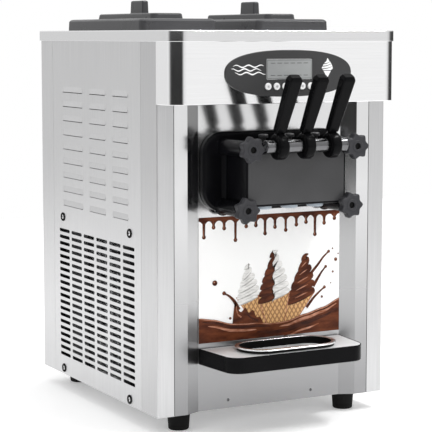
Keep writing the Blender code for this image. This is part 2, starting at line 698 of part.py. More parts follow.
def make_drip_shelf():
    rear = RECESS_DEPTH - 0.0012
    path = [(SHELF_REAR_HALF, rear), (SHELF_FRONT_HALF, -SHELF_PROUD), (0, -SHELF_PROUD)]
    right = bent(path, SHELF_CORNER, 5)[:-1]
    outline = [(-x, depth) for x, depth in right] + right[::-1]
    rings = (
        (0.006, SHELF_BOTTOM + 0.003), (0.006, SHELF_TOP - 0.0020), (0.0022, SHELF_TOP - 0.0020),
        (0.0022, SHELF_TOP - 0.0004), (0.0005, SHELF_TOP - 0.0004), (0, SHELF_TOP - 0.0010),
        (0, SHELF_BOTTOM + 0.001), (0.001, SHELF_BOTTOM),
    )
    add_object("drip_shelf", loft([flat(inset(outline, d), h) for d, h in rings]), BLACK)
    plate = casting(inset(outline, 0.0026), (SHELF_TOP - 0.0017, SHELF_TOP - 0.0004))
    plate = add_object("shelf_plate", plate, POLISHED)
    width, depth = TRAY_SIZE

    def stadium(gap):
        shape = rounded_rect(width - 2 * gap, depth - 2 * gap, depth / 2 - gap - 0.001, 6)
        return moved(shape, 0, TRAY_DEPTH)

    cut(plate, casting(stadium(0.0105), (0.11, 0.15)))
    rings = (
        (0.0180, TRAY_FLOOR + 0.0015), (0.0145, TRAY_FLOOR + 0.008), (0.0125, TRAY_TOP - 0.0015),
        (0.0110, TRAY_TOP), (0.0030, TRAY_TOP), (0, TRAY_TOP - 0.0012), (0, TRAY_TOP - 0.0026),
        (0.0070, TRAY_TOP - 0.0030), (0.0070, SHELF_TOP - 0.0001), (0.0110, SHELF_TOP - 0.0001),
        (0.0130, TRAY_FLOOR + 0.007), (0.0165, TRAY_FLOOR),
    )
    tray = loft([flat(stadium(gap), height) for gap, height in rings])
    add_object("drip_tray", tray, POLISHED, at(0, TRAY_DEPTH, SHELF_TOP))


# ---- freezing and drive ----

def make_cylinders():
    wall = 0.002
    end_plate = 0.006
    start, end = 0.030, CYLINDER_REAR - 0.014
    root = BEATER_SHAFT_R - 0.003
    blade = ((root, -0.0015), (BEATER_R, -0.0015), (BEATER_R, 0.0015), (root, 0.0015))
    shell = (
        (BEATER_SHAFT_R + 0.0005, CYLINDER_REAR - end_plate), (CYLINDER_R - wall, CYLINDER_REAR - end_plate),
        (CYLINDER_R - wall, RECESS_DEPTH), (CYLINDER_R, RECESS_DEPTH), (CYLINDER_R, CYLINDER_REAR),
        (BEATER_SHAFT_R + 0.0005, CYLINDER_REAR),
    )
    for side, name in ((-1, "left"), (1, "right")):
        x = side * CYLINDER_X
        rings = [upright(moved(circle(r, CYLINDER_SIDES), x, CYLINDER_HEIGHT), d) for r, d in shell]
        cylinder = add_object(f"{name}_freezing_cylinder", tube(rings), STEEL)
        cut(cylinder, rod(flat, x, SPOUT_DEPTH, SPOUT_R, (0.52, 0.56)))

        shaft = rod(upright, x, CYLINDER_HEIGHT, BEATER_SHAFT_R, (0.024, GEARBOX_DEPTHS[0] + 0.010))
        beater = add_object(f"{name}_beater", shaft, STEEL, at(x, CYLINDER_REAR, CYLINDER_HEIGHT))
        steps = BEATER_STEPS * BEATER_TURNS
        rings = []
        for i in range(steps + 1):
            angle = side * math.tau * BEATER_TURNS * i / steps
            depth = start + (end - start) * i / steps
            rings.append([
                at(x + r * math.cos(angle), depth + along, CYLINDER_HEIGHT + r * math.sin(angle))
                for r, along in blade
            ])
        fuse(beater, loft(rings))


def make_drive():
    front, rear = GEARBOX_DEPTHS
    gearbox = crate((-0.125, 0.125), GEARBOX_DEPTHS, (CYLINDER_HEIGHT - 0.045, CYLINDER_HEIGHT + 0.045))
    gearbox = add_object("beater_gearbox", gearbox, PAINTED)
    bearings = bmesh.new()
    for side in (-1, 1):
        place = (side * CYLINDER_X, CYLINDER_HEIGHT)
        rod(upright, *place, BEATER_SHAFT_R + 0.0005, (front - 0.01, front + 0.016), bm=bearings)
    rod(upright, 0, CYLINDER_HEIGHT, DRIVE_SHAFT_R + 0.0005, (rear - 0.016, rear + 0.01), bm=bearings)
    cut(gearbox, bearings)
    low, high = BELT_DEPTHS
    pulleys = (
        ("gearbox_pulley", CYLINDER_HEIGHT, LARGE_PULLEY_R, rear - 0.010),
        ("motor_pulley", MOTOR_HEIGHT, SMALL_PULLEY_R, rear - 0.004),
    )
    for name, height, radius, shaft_start in pulleys:
        rim = radius + PULLEY_RIM
        profile = (
            (DRIVE_SHAFT_R, shaft_start), (DRIVE_SHAFT_R, low - 0.006), (rim, low - 0.006), (rim, low - GAP),
            (radius, low - GAP), (radius, high + GAP), (rim, high + GAP), (rim, high + 0.004),
        )
        rings = [upright(moved(circle(r, 20), 0, height), depth) for r, depth in profile]
        add_object(name, loft(rings), PAINTED, at(0, low, height))
    make_belt()
    profile = ((0.030, 0.190), (0.060, 0.200), (0.060, 0.370), (0.040, 0.384))
    motor = loft([upright(moved(circle(r, 20), 0, MOTOR_HEIGHT), depth) for r, depth in profile])
    motor = add_object("drive_motor", motor, PAINTED)
    fuse(motor, crate((-0.050, 0.050), (0.220, 0.350), (PAN_FLOOR, MOTOR_HEIGHT - 0.030)))
    cut(motor, rod(upright, 0, MOTOR_HEIGHT, DRIVE_SHAFT_R + 0.0005, (0.372, 0.400)))


def make_belt():
    """A closed band round both pulleys, whose straight runs touch them on their common tangents."""
    apart = CYLINDER_HEIGHT - MOTOR_HEIGHT
    steps = 12
    loops = []
    for extra in (0.0008, 0.0060):
        large, small = LARGE_PULLEY_R + extra, SMALL_PULLEY_R + extra
        lean = math.asin((large - small) / apart)
        arcs = (
            (large, CYLINDER_HEIGHT, -lean, math.pi + lean),
            (small, MOTOR_HEIGHT, math.pi + lean, math.tau - lean),
        )
        points = []
        for radius, height, start, end in arcs:
            reach = radius / math.cos((end - start) / steps / 2)
            for i in range(steps + 1):
                angle = start + (end - start) * i / steps
                points.append((reach * math.cos(angle), height + reach * math.sin(angle)))
        loops.append(points)
    low, high = BELT_DEPTHS
    inner, outer = loops
    rings = [upright(inner, low), upright(outer, low), upright(outer, high), upright(inner, high)]
    add_object("drive_belt", tube(rings), RUBBER)


def make_cooling():
    x, depth = COMPRESSOR_PLACE
    profile = (
        (0.055, PAN_FLOOR), (0.080, 0.030), (0.085, 0.060), (0.085, 0.160), (0.078, 0.190), (0.050, 0.210),
    )
    compressor = loft([flat(moved(circle(r, 20), x, depth), height) for r, height in profile])
    add_object("compressor", compressor, PAINTED)
    fan_depth, fan_height = FAN_CENTRE
    condenser = crate(
        (-0.262, -0.222), (fan_depth - 0.160, fan_depth + 0.160), (PAN_HEIGHT + PAN_FLOOR, 0.345))
    add_object("condenser", condenser, FINS)
    hub = ((0.018, -0.206), (0.024, -0.202), (0.024, -0.176))
    hub = loft([sideways(moved(circle(r, 16), fan_depth, fan_height), x) for r, x in hub])
    fan = add_object("condenser_fan", hub, CHARCOAL, at(FAN_X, fan_depth, fan_height))
    for blade in range(FAN_BLADES):
        rings = []
        for reach, swing, chord in ((0.018, 0.0, 0.9), (0.070, 0.10, 0.36), (FAN_R, 0.22, 0.36)):
            middle = math.tau * blade / FAN_BLADES + swing
            start, end = middle - chord, middle + chord
            corners = ((start, -0.204), (end, -0.184), (end, -0.181), (start, -0.201))
            rings.append([
                at(x, fan_depth + reach * math.cos(angle), fan_height + reach * math.sin(angle))
                for angle, x in corners
            ])
        fuse(fan, loft(rings))
    motor = rod(sideways, fan_depth, fan_height, 0.035, (-0.170, -0.120), 16)
    motor = add_object("fan_motor", motor, PAINTED)
    fuse(motor, crate((-0.155, -0.135), (fan_depth - 0.02, fan_depth + 0.02), (PAN_FLOOR, fan_height)))


clear_scene()
make_base()
make_posts()
make_front_panel()
make_side_panels()
make_rear_panel()
make_head()
make_controls()
make_cap()
make_hoppers()
make_lids()
make_valve_block()
make_nozzles_and_plungers()
make_levers()
make_star_knobs()
make_drip_shelf()
make_cylinders()
make_drive()
make_cooling()
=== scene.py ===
"""Looks of a countertop soft serve machine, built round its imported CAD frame.

Metres, +Z up. at(x, depth, height) gives a point from the machine's own datums:
depth runs back from the front plane of the corner posts, height up from the
underside of the casing. A place is one of flat, upright and sideways: it lays a
plane outline out at a distance along the axis across it.
"""
import math

import bmesh
import bpy
from mathutils import Matrix, Vector


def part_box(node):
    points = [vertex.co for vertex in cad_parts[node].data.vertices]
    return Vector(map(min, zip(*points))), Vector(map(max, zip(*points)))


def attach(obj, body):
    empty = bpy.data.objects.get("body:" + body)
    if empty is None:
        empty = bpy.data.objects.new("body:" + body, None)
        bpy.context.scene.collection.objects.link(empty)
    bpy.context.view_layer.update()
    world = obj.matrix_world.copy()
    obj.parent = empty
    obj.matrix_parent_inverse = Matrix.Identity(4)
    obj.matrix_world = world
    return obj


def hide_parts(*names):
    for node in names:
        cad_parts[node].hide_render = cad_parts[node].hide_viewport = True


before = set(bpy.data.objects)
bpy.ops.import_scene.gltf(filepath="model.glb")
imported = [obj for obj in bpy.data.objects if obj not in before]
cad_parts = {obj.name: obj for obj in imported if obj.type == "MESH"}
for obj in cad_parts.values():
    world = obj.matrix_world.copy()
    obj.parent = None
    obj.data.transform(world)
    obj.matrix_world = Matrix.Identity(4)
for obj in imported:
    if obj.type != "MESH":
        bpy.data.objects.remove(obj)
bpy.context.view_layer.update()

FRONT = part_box("left_front_post")[0].y
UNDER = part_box("left_front_post")[0].z
SHEET = 0.0015                 # casing sheet
LAYER = 0.00012                # one printed layer of the poster
CUT = 0.010                    # how far a cutter reaches past a sheet


def at(x, depth, height):
    return Vector((x, FRONT + depth, UNDER + height))


def spans(node):
    """A node's box as (start, end) in x, in depth and in height."""
    low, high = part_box(node)
    return (low.x, high.x), (low.y - FRONT, high.y - FRONT), (low.z - UNDER, high.z - UNDER)


def middles(node):
    return [(start + end) / 2 for start, end in spans(node)]


# ---- materials ----

class Tree:
    """A node tree, with short ways to add a node and feed its inputs with values or outputs."""

    def __init__(self, owner):
        owner.use_nodes = True
        self.owner, self.nodes, self.links = owner, owner.node_tree.nodes, owner.node_tree.links

    def feed(self, node, inputs):
        for socket, value in inputs.items():
            if isinstance(value, bpy.types.NodeSocket):
                self.links.new(value, node.inputs[socket])
            else:
                node.inputs[socket].default_value = value
        return node

    def add(self, kind, inputs=None, **settings):
        node = self.nodes.new(kind)
        for name, value in settings.items():
            setattr(node, name, value)
        return self.feed(node, inputs or {})

    def surface(self, **inputs):
        """Feeds the Principled shader: base_color stands for its input Base Color."""
        named = {name.replace("_", " ").title().replace("Ior", "IOR"): inputs[name] for name in inputs}
        self.feed(self.nodes["Principled BSDF"], named)

    def place(self, output="Object"):
        return self.add("ShaderNodeTexCoord").outputs[output]

    def noise(self, scale, stretch=(1, 1, 1), detail=4.0):
        """A noise in the object's own space. It runs about 0.3 to 0.7."""
        mapping = self.add("ShaderNodeMapping", {"Vector": self.place(), "Scale": stretch})
        inputs = {"Vector": mapping.outputs["Vector"], "Scale": scale, "Detail": detail}
        return self.add("ShaderNodeTexNoise", inputs).outputs["Fac"]

    def ramp(self, source, stops):
        node = self.add("ShaderNodeValToRGB", {"Fac": source})
        elements = node.color_ramp.elements
        while len(elements) < len(stops):
            elements.new(0.5)
        for element, (position, colour) in zip(elements, stops):
            element.position = position
            element.color = (*colour, 1.0)
        return node.outputs["Color"]

    def spread(self, source, low, high, to_low, to_high):
        inputs = {"Value": source, "From Min": low, "From Max": high, "To Min": to_low, "To Max": to_high}
        return self.add("ShaderNodeMapRange", inputs).outputs["Result"]

    def bump(self, source, strength, distance):
        inputs = {"Height": source, "Strength": strength, "Distance": distance}
        return self.add("ShaderNodeBump", inputs).outputs["Normal"]


def material(name, colour, metallic, roughness):
    tree = Tree(bpy.data.materials.new(name))
    tree.surface(base_color=(*colour, 1.0), metallic=metallic, roughness=roughness)
    return tree


def drifting(colour, low, high, vary):
    """Ramp stops for a tone that drifts either side of colour."""
    return [(position, [min(1.0, c * factor) for c in colour])
            for position, factor in ((low, 1 - vary), (high, 1 + vary))]


def brushed(name, tone, roughness, stretch, depth=0.10, vary=0.05, tint=0.005):
    """Steel with a grain: fine lines along the axis whose stretch is small. Tint is its extra blue."""
    colour = (tone, tone, tone + tint)
    tree = material(name, colour, 1.0, roughness)
    lines, clouds = tree.noise(1.0, stretch, 3.0), tree.noise(3.0, detail=2.0)
    tree.surface(
        base_color=tree.ramp(lines, drifting(colour, 0.30, 0.70, vary)),
        roughness=tree.spread(clouds, 0.3, 0.7, roughness * 0.85, roughness * 1.15),
        normal=tree.bump(lines, depth, 0.0001))
    return tree.owner


def moulded(
        name, colour, roughness, grain=900.0, depth=0.12, coat=0.0, vary=0.12, metallic=0.0, specular=0.35):
    """Plastic, paint or rubber: a fine moulded grain, and slow changes of tone and gloss."""
    tree = material(name, colour, metallic, roughness)
    fine, slow = tree.noise(grain, detail=2.0), tree.noise(14.0, detail=5.0)
    tree.surface(
        specular_ior_level=specular, coat_weight=coat, coat_roughness=0.08,
        base_color=tree.ramp(slow, drifting(colour, 0.32, 0.68, vary)),
        roughness=tree.spread(slow, 0.3, 0.7, roughness * 0.8, min(1.0, roughness * 1.2)),
        normal=tree.bump(fine, depth, 0.00008))
    return tree.owner


def finned():
    """Even bright fins with dark bands of painted shade for the gaps, one above another."""
    bright, dark = (0.80, 0.81, 0.82), (0.10, 0.10, 0.11)
    tree = material("fin_aluminium_painted_gap_shade", bright, 1.0, 0.35)
    inputs = {"Vector": tree.place(), "Scale": 95.0, "Distortion": 0.4}
    wave = tree.add("ShaderNodeTexWave", inputs, bands_direction="Z").outputs["Fac"]
    # The dark tone is painted shade for the gaps between the fins.
    tones = ((0.25, dark), (0.75, bright))
    tree.surface(base_color=tree.ramp(wave, tones), normal=tree.bump(wave, 0.6, 0.001))
    return tree.owner


def waffle():
    """Golden wafer with two crossing sets of ridges."""
    light, dark = (0.72, 0.42, 0.16), (0.36, 0.16, 0.05)
    tree = material("waffle_print", light, 0.0, 0.45)
    waves = []
    for turn in (math.radians(32), math.radians(-32)):
        mapping = tree.add("ShaderNodeMapping", {"Vector": tree.place(), "Rotation": (0, turn, 0)})
        inputs = {"Vector": mapping.outputs["Vector"], "Scale": 36.0, "Distortion": 0.8}
        waves.append(tree.add("ShaderNodeTexWave", inputs).outputs["Fac"])
    lower = tree.add("ShaderNodeMath", {0: waves[0], 1: waves[1]}, operation="MINIMUM")
    tree.surface(base_color=tree.ramp(lower.outputs["Value"], ((0.10, dark), (0.45, light))))
    return tree.owner


def printed(name, low, high, scale, stretch=1):
    """Printed ink whose tone drifts between two colours."""
    tree = material(name, high, 0.0, 0.35)
    drift = tree.noise(scale, (1, 1, stretch), 3.0)
    tree.surface(specular_ior_level=0.12, base_color=tree.ramp(drift, ((0.36, low), (0.64, high))))
    return tree.owner


def recess_steel_painted_shade():
    """Glossier up by the valve and rougher down by the feet, with painted shade darkening its colour towards
    the feet.
    """
    tree = material("recess_steel_painted_shade", (0.72, 0.72, 0.73), 1.0, 0.16)
    rise = tree.add("ShaderNodeSeparateXYZ", {"Vector": tree.place()}).outputs["Z"]
    span = (UNDER + 0.02, UNDER + 0.60)
    # Painted shade: these tones darken the steel from the valve down to the feet.
    tones = [(at_height, (tone, tone, tone + 0.005))
             for at_height, tone in ((0.0, 0.30), (0.20, 0.36), (0.45, 0.52), (0.75, 0.78))]
    tree.surface(
        base_color=tree.ramp(tree.spread(rise, *span, 0.0, 1.0), tones),
        roughness=tree.spread(rise, *span, 0.36, 0.12),
        normal=tree.bump(tree.noise(1.0, UPRIGHT_GRAIN, 3.0), 0.05, 0.0001))
    return tree.owner


UPRIGHT_GRAIN, LEVEL_GRAIN, PLAN_GRAIN, FINE_GRAIN = (700, 700, 7), (7, 700, 700), (7, 700, 20), (90, 90, 90)
STEEL = brushed("casing_steel_satin", 0.55, 0.32, UPRIGHT_GRAIN)
PANEL_STEEL = brushed("panel_steel_satin", 0.62, 0.34, UPRIGHT_GRAIN, 0.12)
RECESS_STEEL_PAINTED_SHADE = recess_steel_painted_shade()
COVER_STEEL = brushed("cover_steel_polish", 0.93, 0.10, LEVEL_GRAIN, 0.012, 0.02)
CAP_STEEL = brushed("cap_steel_polish", 0.76, 0.12, LEVEL_GRAIN, 0.012, 0.02)
RIM_STEEL = brushed("tray_rim_steel", 0.84, 0.26, FINE_GRAIN, 0.02, 0.02)
PLATE_STEEL = brushed("plate_steel", 0.92, 0.56, PLAN_GRAIN, 0.06)
BARREL_STEEL = brushed("barrel_steel", 0.15, 0.16, (700, 20, 20), 0.03, 0.03)
CHROME = brushed("polished_steel_fine", 0.86, 0.07, FINE_GRAIN, 0.02, 0.02, 0.01)
TANK_STEEL = brushed("tank_steel", 0.70, 0.26, (9, 500, 500), 0.06, tint=0.01)
BLACK = moulded("black_gloss", (0.004, 0.004, 0.0045), 0.20, 1100, 0.06, specular=0.05)
BLOCK_BLACK = moulded("valve_block_black", (0.004, 0.004, 0.005), 0.24, 1000, 0.08, specular=0.08)
BLOCK_FACE = moulded("valve_face_satin", (0.052, 0.052, 0.054), 0.42, 1300, 0.10, vary=0.10)
CHARCOAL = moulded("charcoal_satin", (0.020, 0.020, 0.022), 0.40, 1200, 0.15)
BEZEL_GREY = moulded("bezel_charcoal", (0.036, 0.036, 0.037), 0.45, 1600, 0.10, vary=0.06)
KNOB_GREY = moulded("knob_grey", (0.034, 0.034, 0.038), 0.50, 900, 0.35, specular=0.25)
KNOB_CORE = moulded("knob_core", (0.003, 0.003, 0.003), 0.50, 900, 0.2, specular=0.1)
LID_GREY = moulded("lid_charcoal", (0.052, 0.052, 0.055), 0.30, 1100, 0.16, specular=0.30)
BUTTON = moulded("button_white_satin", (0.88, 0.88, 0.88), 0.32, 1500, 0.05, 0.3, 0.03)
ICON_GREY = moulded("icon_grey", (0.42, 0.42, 0.43), 0.45, 1500, 0.05)
INK_WHITE = moulded("ink_white", (0.92, 0.92, 0.92), 0.40, 1500, 0.05, 0.0, 0.02)
NOZZLE = moulded("nozzle_blue_grey", (0.36, 0.41, 0.46), 0.38, 900, 0.1, 0.2)
RUBBER = moulded("rubber_matte", (0.005, 0.005, 0.005), 0.65, 600, 0.5, specular=0.15)
PAINT = moulded("black_enamel", (0.035, 0.036, 0.040), 0.38, 500, 0.3, 0.3, 0.15, 0.2)
BOARD = moulded("board_green", (0.04, 0.18, 0.08), 0.45, 260, 0.6, 0.3, 0.35)
FINS = finned()
DISPLAY = moulded("display_grey", (0.30, 0.31, 0.31), 0.16, 1800, 0.02, 0.3, 0.10)
FILM = printed("poster_film", (0.97, 0.965, 0.96), (1.0, 1.0, 0.99), 6.0)
CHOCOLATE = printed("chocolate_print", (0.050, 0.011, 0.004), (0.135, 0.036, 0.013), 26.0, 3)
CHOCOLATE_LIGHT = printed("chocolate_light_print", (0.24, 0.075, 0.032), (0.60, 0.30, 0.20), 40.0, 4)
CHOCOLATE_DARK = printed("chocolate_dark_print", (0.030, 0.009, 0.006), (0.075, 0.022, 0.012), 40.0, 3)
CREAM = printed("cream_print", (0.66, 0.65, 0.63), (0.90, 0.89, 0.87), 60.0, 4)
CREAM_SHADE = printed("cream_shade_print", (0.34, 0.33, 0.32), (0.52, 0.51, 0.49), 60.0)
WAFFLE = waffle()

CARRIED_OVER = (
    (STEEL, "base_pan left_front_post right_front_post"), (RECESS_STEEL_PAINTED_SHADE, "front_panel"),
    (CHROME, "pivot_rod left_beater right_beater"), (BLACK, "cable_gland"), (BOARD, "control_board"),
    (RUBBER, "valve_gasket drive_belt"), (TANK_STEEL, "left_freezing_cylinder right_freezing_cylinder"),
    (PAINT, "beater_gearbox gearbox_pulley motor_pulley drive_motor compressor fan_motor"),
    (CHARCOAL, "condenser_fan"),
)


def dress_cad_nodes():
    for look, names in CARRIED_OVER:
        for name in names.split():
            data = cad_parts[name].data
            data.materials.clear()
            data.materials.append(look)


# ---- shaping ----

def mesh_of(name, bm):
    bmesh.ops.recalc_face_normals(bm, faces=bm.faces)
    mesh = bpy.data.meshes.new(name)
    bm.to_mesh(mesh)
    bm.free()
    return mesh


def shown(name, data):
    """An object in the scene that holds data."""
    made = bpy.data.objects.new(name, data)
    bpy.context.scene.collection.objects.link(made)
    return made


def finished(name, bm, look, replaced=None, body="root", bevel=0.0, angle=32):
    """Turns bm into a shaded piece that rides on a CAD body."""
    bmesh.ops.remove_doubles(bm, verts=bm.verts, dist=1e-6)
    mesh = mesh_of(name, bm)
    mesh.shade_smooth()
    mesh.set_sharp_from_angle(angle=math.radians(angle))
    mesh.materials.append(look)
    piece = shown(name, mesh)
    if bevel:
        rounding = piece.modifiers.new("Edges", "BEVEL")
        rounding.width = bevel
        rounding.segments = 2
        rounding.limit_method = "ANGLE"
        rounding.angle_limit = math.radians(angle)
        rounding.harden_normals = True
    else:
        piece.modifiers.new("Level", "WEIGHTED_NORMAL").keep_sharp = True
    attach(piece, body)
    if replaced:
        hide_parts(replaced)
    return piece


def cut(piece, bm):
    """Cuts bm out of a piece, before its other modifiers, and keeps no cutter."""
    cutter = shown("cutter", mesh_of("cutter", bm))
    others = list(piece.modifiers)
    for modifier in others:
        modifier.show_viewport = False
    boolean = piece.modifiers.new("Cut", "BOOLEAN")
    boolean.operation = "DIFFERENCE"
    boolean.object = cutter
    bpy.context.view_layer.update()
    graph = bpy.context.evaluated_depsgraph_get()
    graph.update()
    result = bpy.data.meshes.new_from_object(piece.evaluated_get(graph))
    for modifier in others:
        modifier.show_viewport = True
    piece.modifiers.remove(boolean)
    piece.data = result
    bpy.data.objects.remove(cutter)


def loft(rings, bm=None, closed=False):
    """Skins rings in turn. A closed loft joins its last ring to its first, and an open one gets caps."""
    bm = bm or bmesh.new()
    made = [[bm.verts.new(point) for point in ring] for ring in rings]
    count = len(rings[0])
    for lower, upper in zip(made, made[1:] + made[:1] if closed else made[1:]):
        for i in range(count):
            j = (i + 1) % count
            bm.faces.new((lower[i], lower[j], upper[j], upper[i]))
    if not closed:
        bm.faces.new(made[0][::-1])
        bm.faces.new(made[-1])
    return bm


def circle(radius, sides=48):
    turns = [math.tau * i / sides for i in range(sides)]
    return [(radius * math.cos(turn), radius * math.sin(turn)) for turn in turns]


def rounded_rect(width, depth, radius, steps=8):
    points = []
    for quarter, (side, front) in enumerate(((1, -1), (1, 1), (-1, 1), (-1, -1))):
        centre_x = side * (width / 2 - radius)
        centre_y = front * (depth / 2 - radius)
        for step in range(steps + 1):
            angle = math.pi / 2 * (quarter - 1 + step / steps)
            points.append((centre_x + radius * math.cos(angle), centre_y + radius * math.sin(angle)))
    return points


def moved(points, dx, dy):
    return [(x + dx, y + dy) for x, y in points]


def inset(points, distance):
    """A closed anticlockwise outline moved inwards by distance, corner by corner."""
    result = []
    for i, point in enumerate(points):
        before = (Vector(point) - Vector(points[i - 1])).normalized()
        after = (Vector(points[(i + 1) % len(points)]) - Vector(point)).normalized()
        inward = Vector((-before.y - after.y, before.x + after.x)).normalized()
        share = max(0.2, inward.dot(Vector((-before.y, before.x))))
        result.append(tuple(Vector(point) + inward * distance / share))
    return result


def bent(path, radius, steps=12):
    """A path whose inner corners become arcs of this radius."""
    points = [path[0]]
    for before, corner, after in zip(path, path[1:], path[2:]):
        here = Vector(corner)
        to_before = (Vector(before) - here).normalized()
        to_after = (Vector(after) - here).normalized()
        half = to_before.angle(to_after) / 2
        centre = here + (to_before + to_after).normalized() * radius / math.sin(half)
        start = here + to_before * radius / math.tan(half) - centre
        end = here + to_after * radius / math.tan(half) - centre
        sign = 1 if start.x * end.y - start.y * end.x > 0 else -1
        for step in range(steps + 1):
            turn = Matrix.Rotation(sign * (math.pi - 2 * half) * step / steps, 2)
            points.append(tuple(centre + turn @ start))
    points.append(path[-1])
    return points


def smooth_through(points, steps=8):
    """A Catmull-Rom curve through points."""
    padded = [points[0]] + list(points) + [points[-1]]
    curve = []
    for stretch in zip(padded, padded[1:], padded[2:], padded[3:]):
        for step in range(steps):
            t = step / steps
            curve.append(tuple(
                q + 0.5 * t * (r - p + t * (2 * p - 5 * q + 4 * r - s + t * (3 * q - p - 3 * r + s)))
                for p, q, r, s in zip(*stretch)
            ))
    curve.append(tuple(points[-1]))
    return curve


def stroke(points, start, end):
    """A tapering line along points, from one half width to the other."""
    path = smooth_through(points, 6)
    left, right = [], []
    for i, here in enumerate(path):
        before, after = Vector(path[max(0, i - 1)]), Vector(path[min(len(path) - 1, i + 1)])
        ahead = (after - before).normalized()
        half = start + (end - start) * i / (len(path) - 1)
        left.append((here[0] - ahead.y * half, here[1] + ahead.x * half))
        right.append((here[0] + ahead.y * half, here[1] - ahead.x * half))
    return right + left[::-1]


def flat(points, height):
    return [at(x, depth, height) for x, depth in points]


def upright(points, depth):
    return [at(x, depth, height) for x, height in points]


def sideways(points, x):
    return [at(x, depth, height) for depth, height in points]


def prism(place, outline, ends, bm=None):
    return loft([place(outline, along) for along in ends], bm)


def crate(xs, depths, heights, bm=None):
    corners = ((xs[0], depths[0]), (xs[1], depths[0]), (xs[1], depths[1]), (xs[0], depths[1]))
    return prism(flat, corners, heights, bm)


def stepped(place, outline, profile, closed=False):
    """An outline drawn in by each gap of profile, at the position that comes with it."""
    return loft([place(inset(outline, gap), along) for gap, along in profile], closed=closed)


def turned(place, x, y, profile, sides=48, bm=None, closed=False):
    """A solid of revolution through each (radius, position along the axis) of profile."""
    return loft([place(moved(circle(r, sides), x, y), along) for r, along in profile], bm, closed)


def softened(steps, start, end, radius):
    """(gap, position) pairs that round over the edge at end, coming from start."""
    way = radius if end > start else -radius
    angles = [math.pi / 2 * step / steps for step in range(steps + 1)]
    return [(0.0, start)] + [(radius * (1 - math.cos(q)), end - way * (1 - math.sin(q))) for q in angles]


# ---- casing ----

SIDE_SPAN = spans("right_side_panel")[0]
SIDE_HALF = SIDE_SPAN[1]                                  # over the louvres
PROUD = SIDE_HALF - SIDE_SPAN[0] - SHEET                  # how far the louvres stand out
SIDE_SHEET = SIDE_HALF - PROUD                            # outer face of the side sheets
RECESS = spans("poster_sheet")[1][1] + 0.0003             # back of the serving recess
LOUVRE_COLUMNS = ((0.134, 0.212), (0.247, 0.333), (0.368, 0.480))
LOUVRE_BOTTOM, LOUVRE_PITCH, LOUVRE_ROWS, LOUVRE_TALL = 0.3890, 0.0318, 9, 0.0118
SLOT_ROWS, SLOT_COLUMNS = 20, 6
SLOT_FIRST, SLOT_LAST, SLOT_BOTTOM, SLOT_PITCH = 0.134, 0.475, 0.0468, 0.01492
SLOT_LENGTH, SLOT_TALL = 0.057, 0.0076
REAR_SLOT_ROWS, REAR_SLOT_BOTTOM, REAR_SLOT_PITCH, REAR_SLOT_X = 18, 0.050, 0.0155, 0.100
LOUVRES = [(start, end, LOUVRE_BOTTOM + row * LOUVRE_PITCH)
           for row in range(LOUVRE_ROWS) for start, end in LOUVRE_COLUMNS]


def louvre_hood(side, start, end, lip, bm):
    """One pressed hood: closed at the top and both ends, open along its lower lip."""
    along, across, wall = 16, 7, 0.0007
    middle, half = (start + end) / 2, (end - start) / 2
    layers = []
    for inner in (0.0, wall):
        grid = []
        for i in range(along + 1):
            s = -math.cos(math.pi * i / along)
            ends = (1 - abs(s) ** 9) ** 0.5
            row = []
            for j in range(across + 1):
                t = j / across
                x = side * (SIDE_SHEET + t * ends * PROUD - inner)
                row.append(bm.verts.new(at(x, middle + s * half, lip + LOUVRE_TALL * (1 - t))))
            grid.append(row)
        layers.append(grid)
    top, under = layers
    for i in range(along):
        for j in range(across):
            bm.faces.new((top[i][j], top[i + 1][j], top[i + 1][j + 1], top[i][j + 1]))
            bm.faces.new((under[i][j + 1], under[i + 1][j + 1], under[i + 1][j], under[i][j]))
        bm.faces.new((top[i][across], top[i + 1][across], under[i + 1][across], under[i][across]))
        bm.faces.new((under[i][0], under[i + 1][0], top[i + 1][0], top[i][0]))


def make_side_panels():
    pitch = (SLOT_LAST - SLOT_FIRST) / (SLOT_COLUMNS - 1)
    for side, name in ((-1, "left"), (1, "right")):
        node = f"{name}_side_panel"
        _, depths, heights = spans(node)
        plate = crate(sorted((side * (SIDE_SHEET - SHEET), side * SIDE_SHEET)), depths, heights)
        panel = finished(f"{name}_panel_sheet", plate, PANEL_STEEL, node)
        through = [side * (SIDE_SHEET - CUT), side * (SIDE_SHEET + CUT)]
        holes, hoods = bmesh.new(), bmesh.new()
        for row in range(SLOT_ROWS):
            for column in range(SLOT_COLUMNS):
                place = (SLOT_FIRST + column * pitch, SLOT_BOTTOM + row * SLOT_PITCH)
                slot = moved(rounded_rect(SLOT_LENGTH, SLOT_TALL, SLOT_TALL * 0.42, 3), *place)
                prism(sideways, slot, through, holes)
        for start, end, lip in LOUVRES:
            opening = [(start + 0.0015, lip - 0.0018), (end - 0.0015, lip - 0.0018),
                       (end - 0.009, lip + 0.008), (start + 0.009, lip + 0.008)]
            prism(sideways, opening, through, holes)
            louvre_hood(side, start, end, lip, hoods)
        cut(panel, holes)
        finished(f"{name}_panel_louvres", hoods, PANEL_STEEL, angle=60)


def make_rear_panel():
    (_, half), (start, rear), (_, top) = spans("rear_panel")
    outer = bent([(half, start), (half, rear), (-half, rear), (-half, start)], 0.0025, 5)
    x, y = half - SHEET, rear - SHEET
    inner = bent([(x, start), (x, y), (-x, y), (-x, start)], 0.001, 5)
    body = prism(flat, outer + inner[::-1], (0, top))
    panel = finished("rear_panel_sheet", body, PANEL_STEEL, "rear_panel")
    through = (rear - CUT, rear + CUT)
    holes = bmesh.new()
    for row in range(REAR_SLOT_ROWS):
        for x in (-REAR_SLOT_X, REAR_SLOT_X):
            slot = moved(rounded_rect(0.150, 0.0070, 0.0034, 4), x, REAR_SLOT_BOTTOM + row * REAR_SLOT_PITCH)
            prism(upright, slot, through, holes)
    x, _, height = middles("cable_gland")
    turned(upright, x, height, [(0.0093, depth) for depth in through], 12, holes)
    cut(panel, holes)


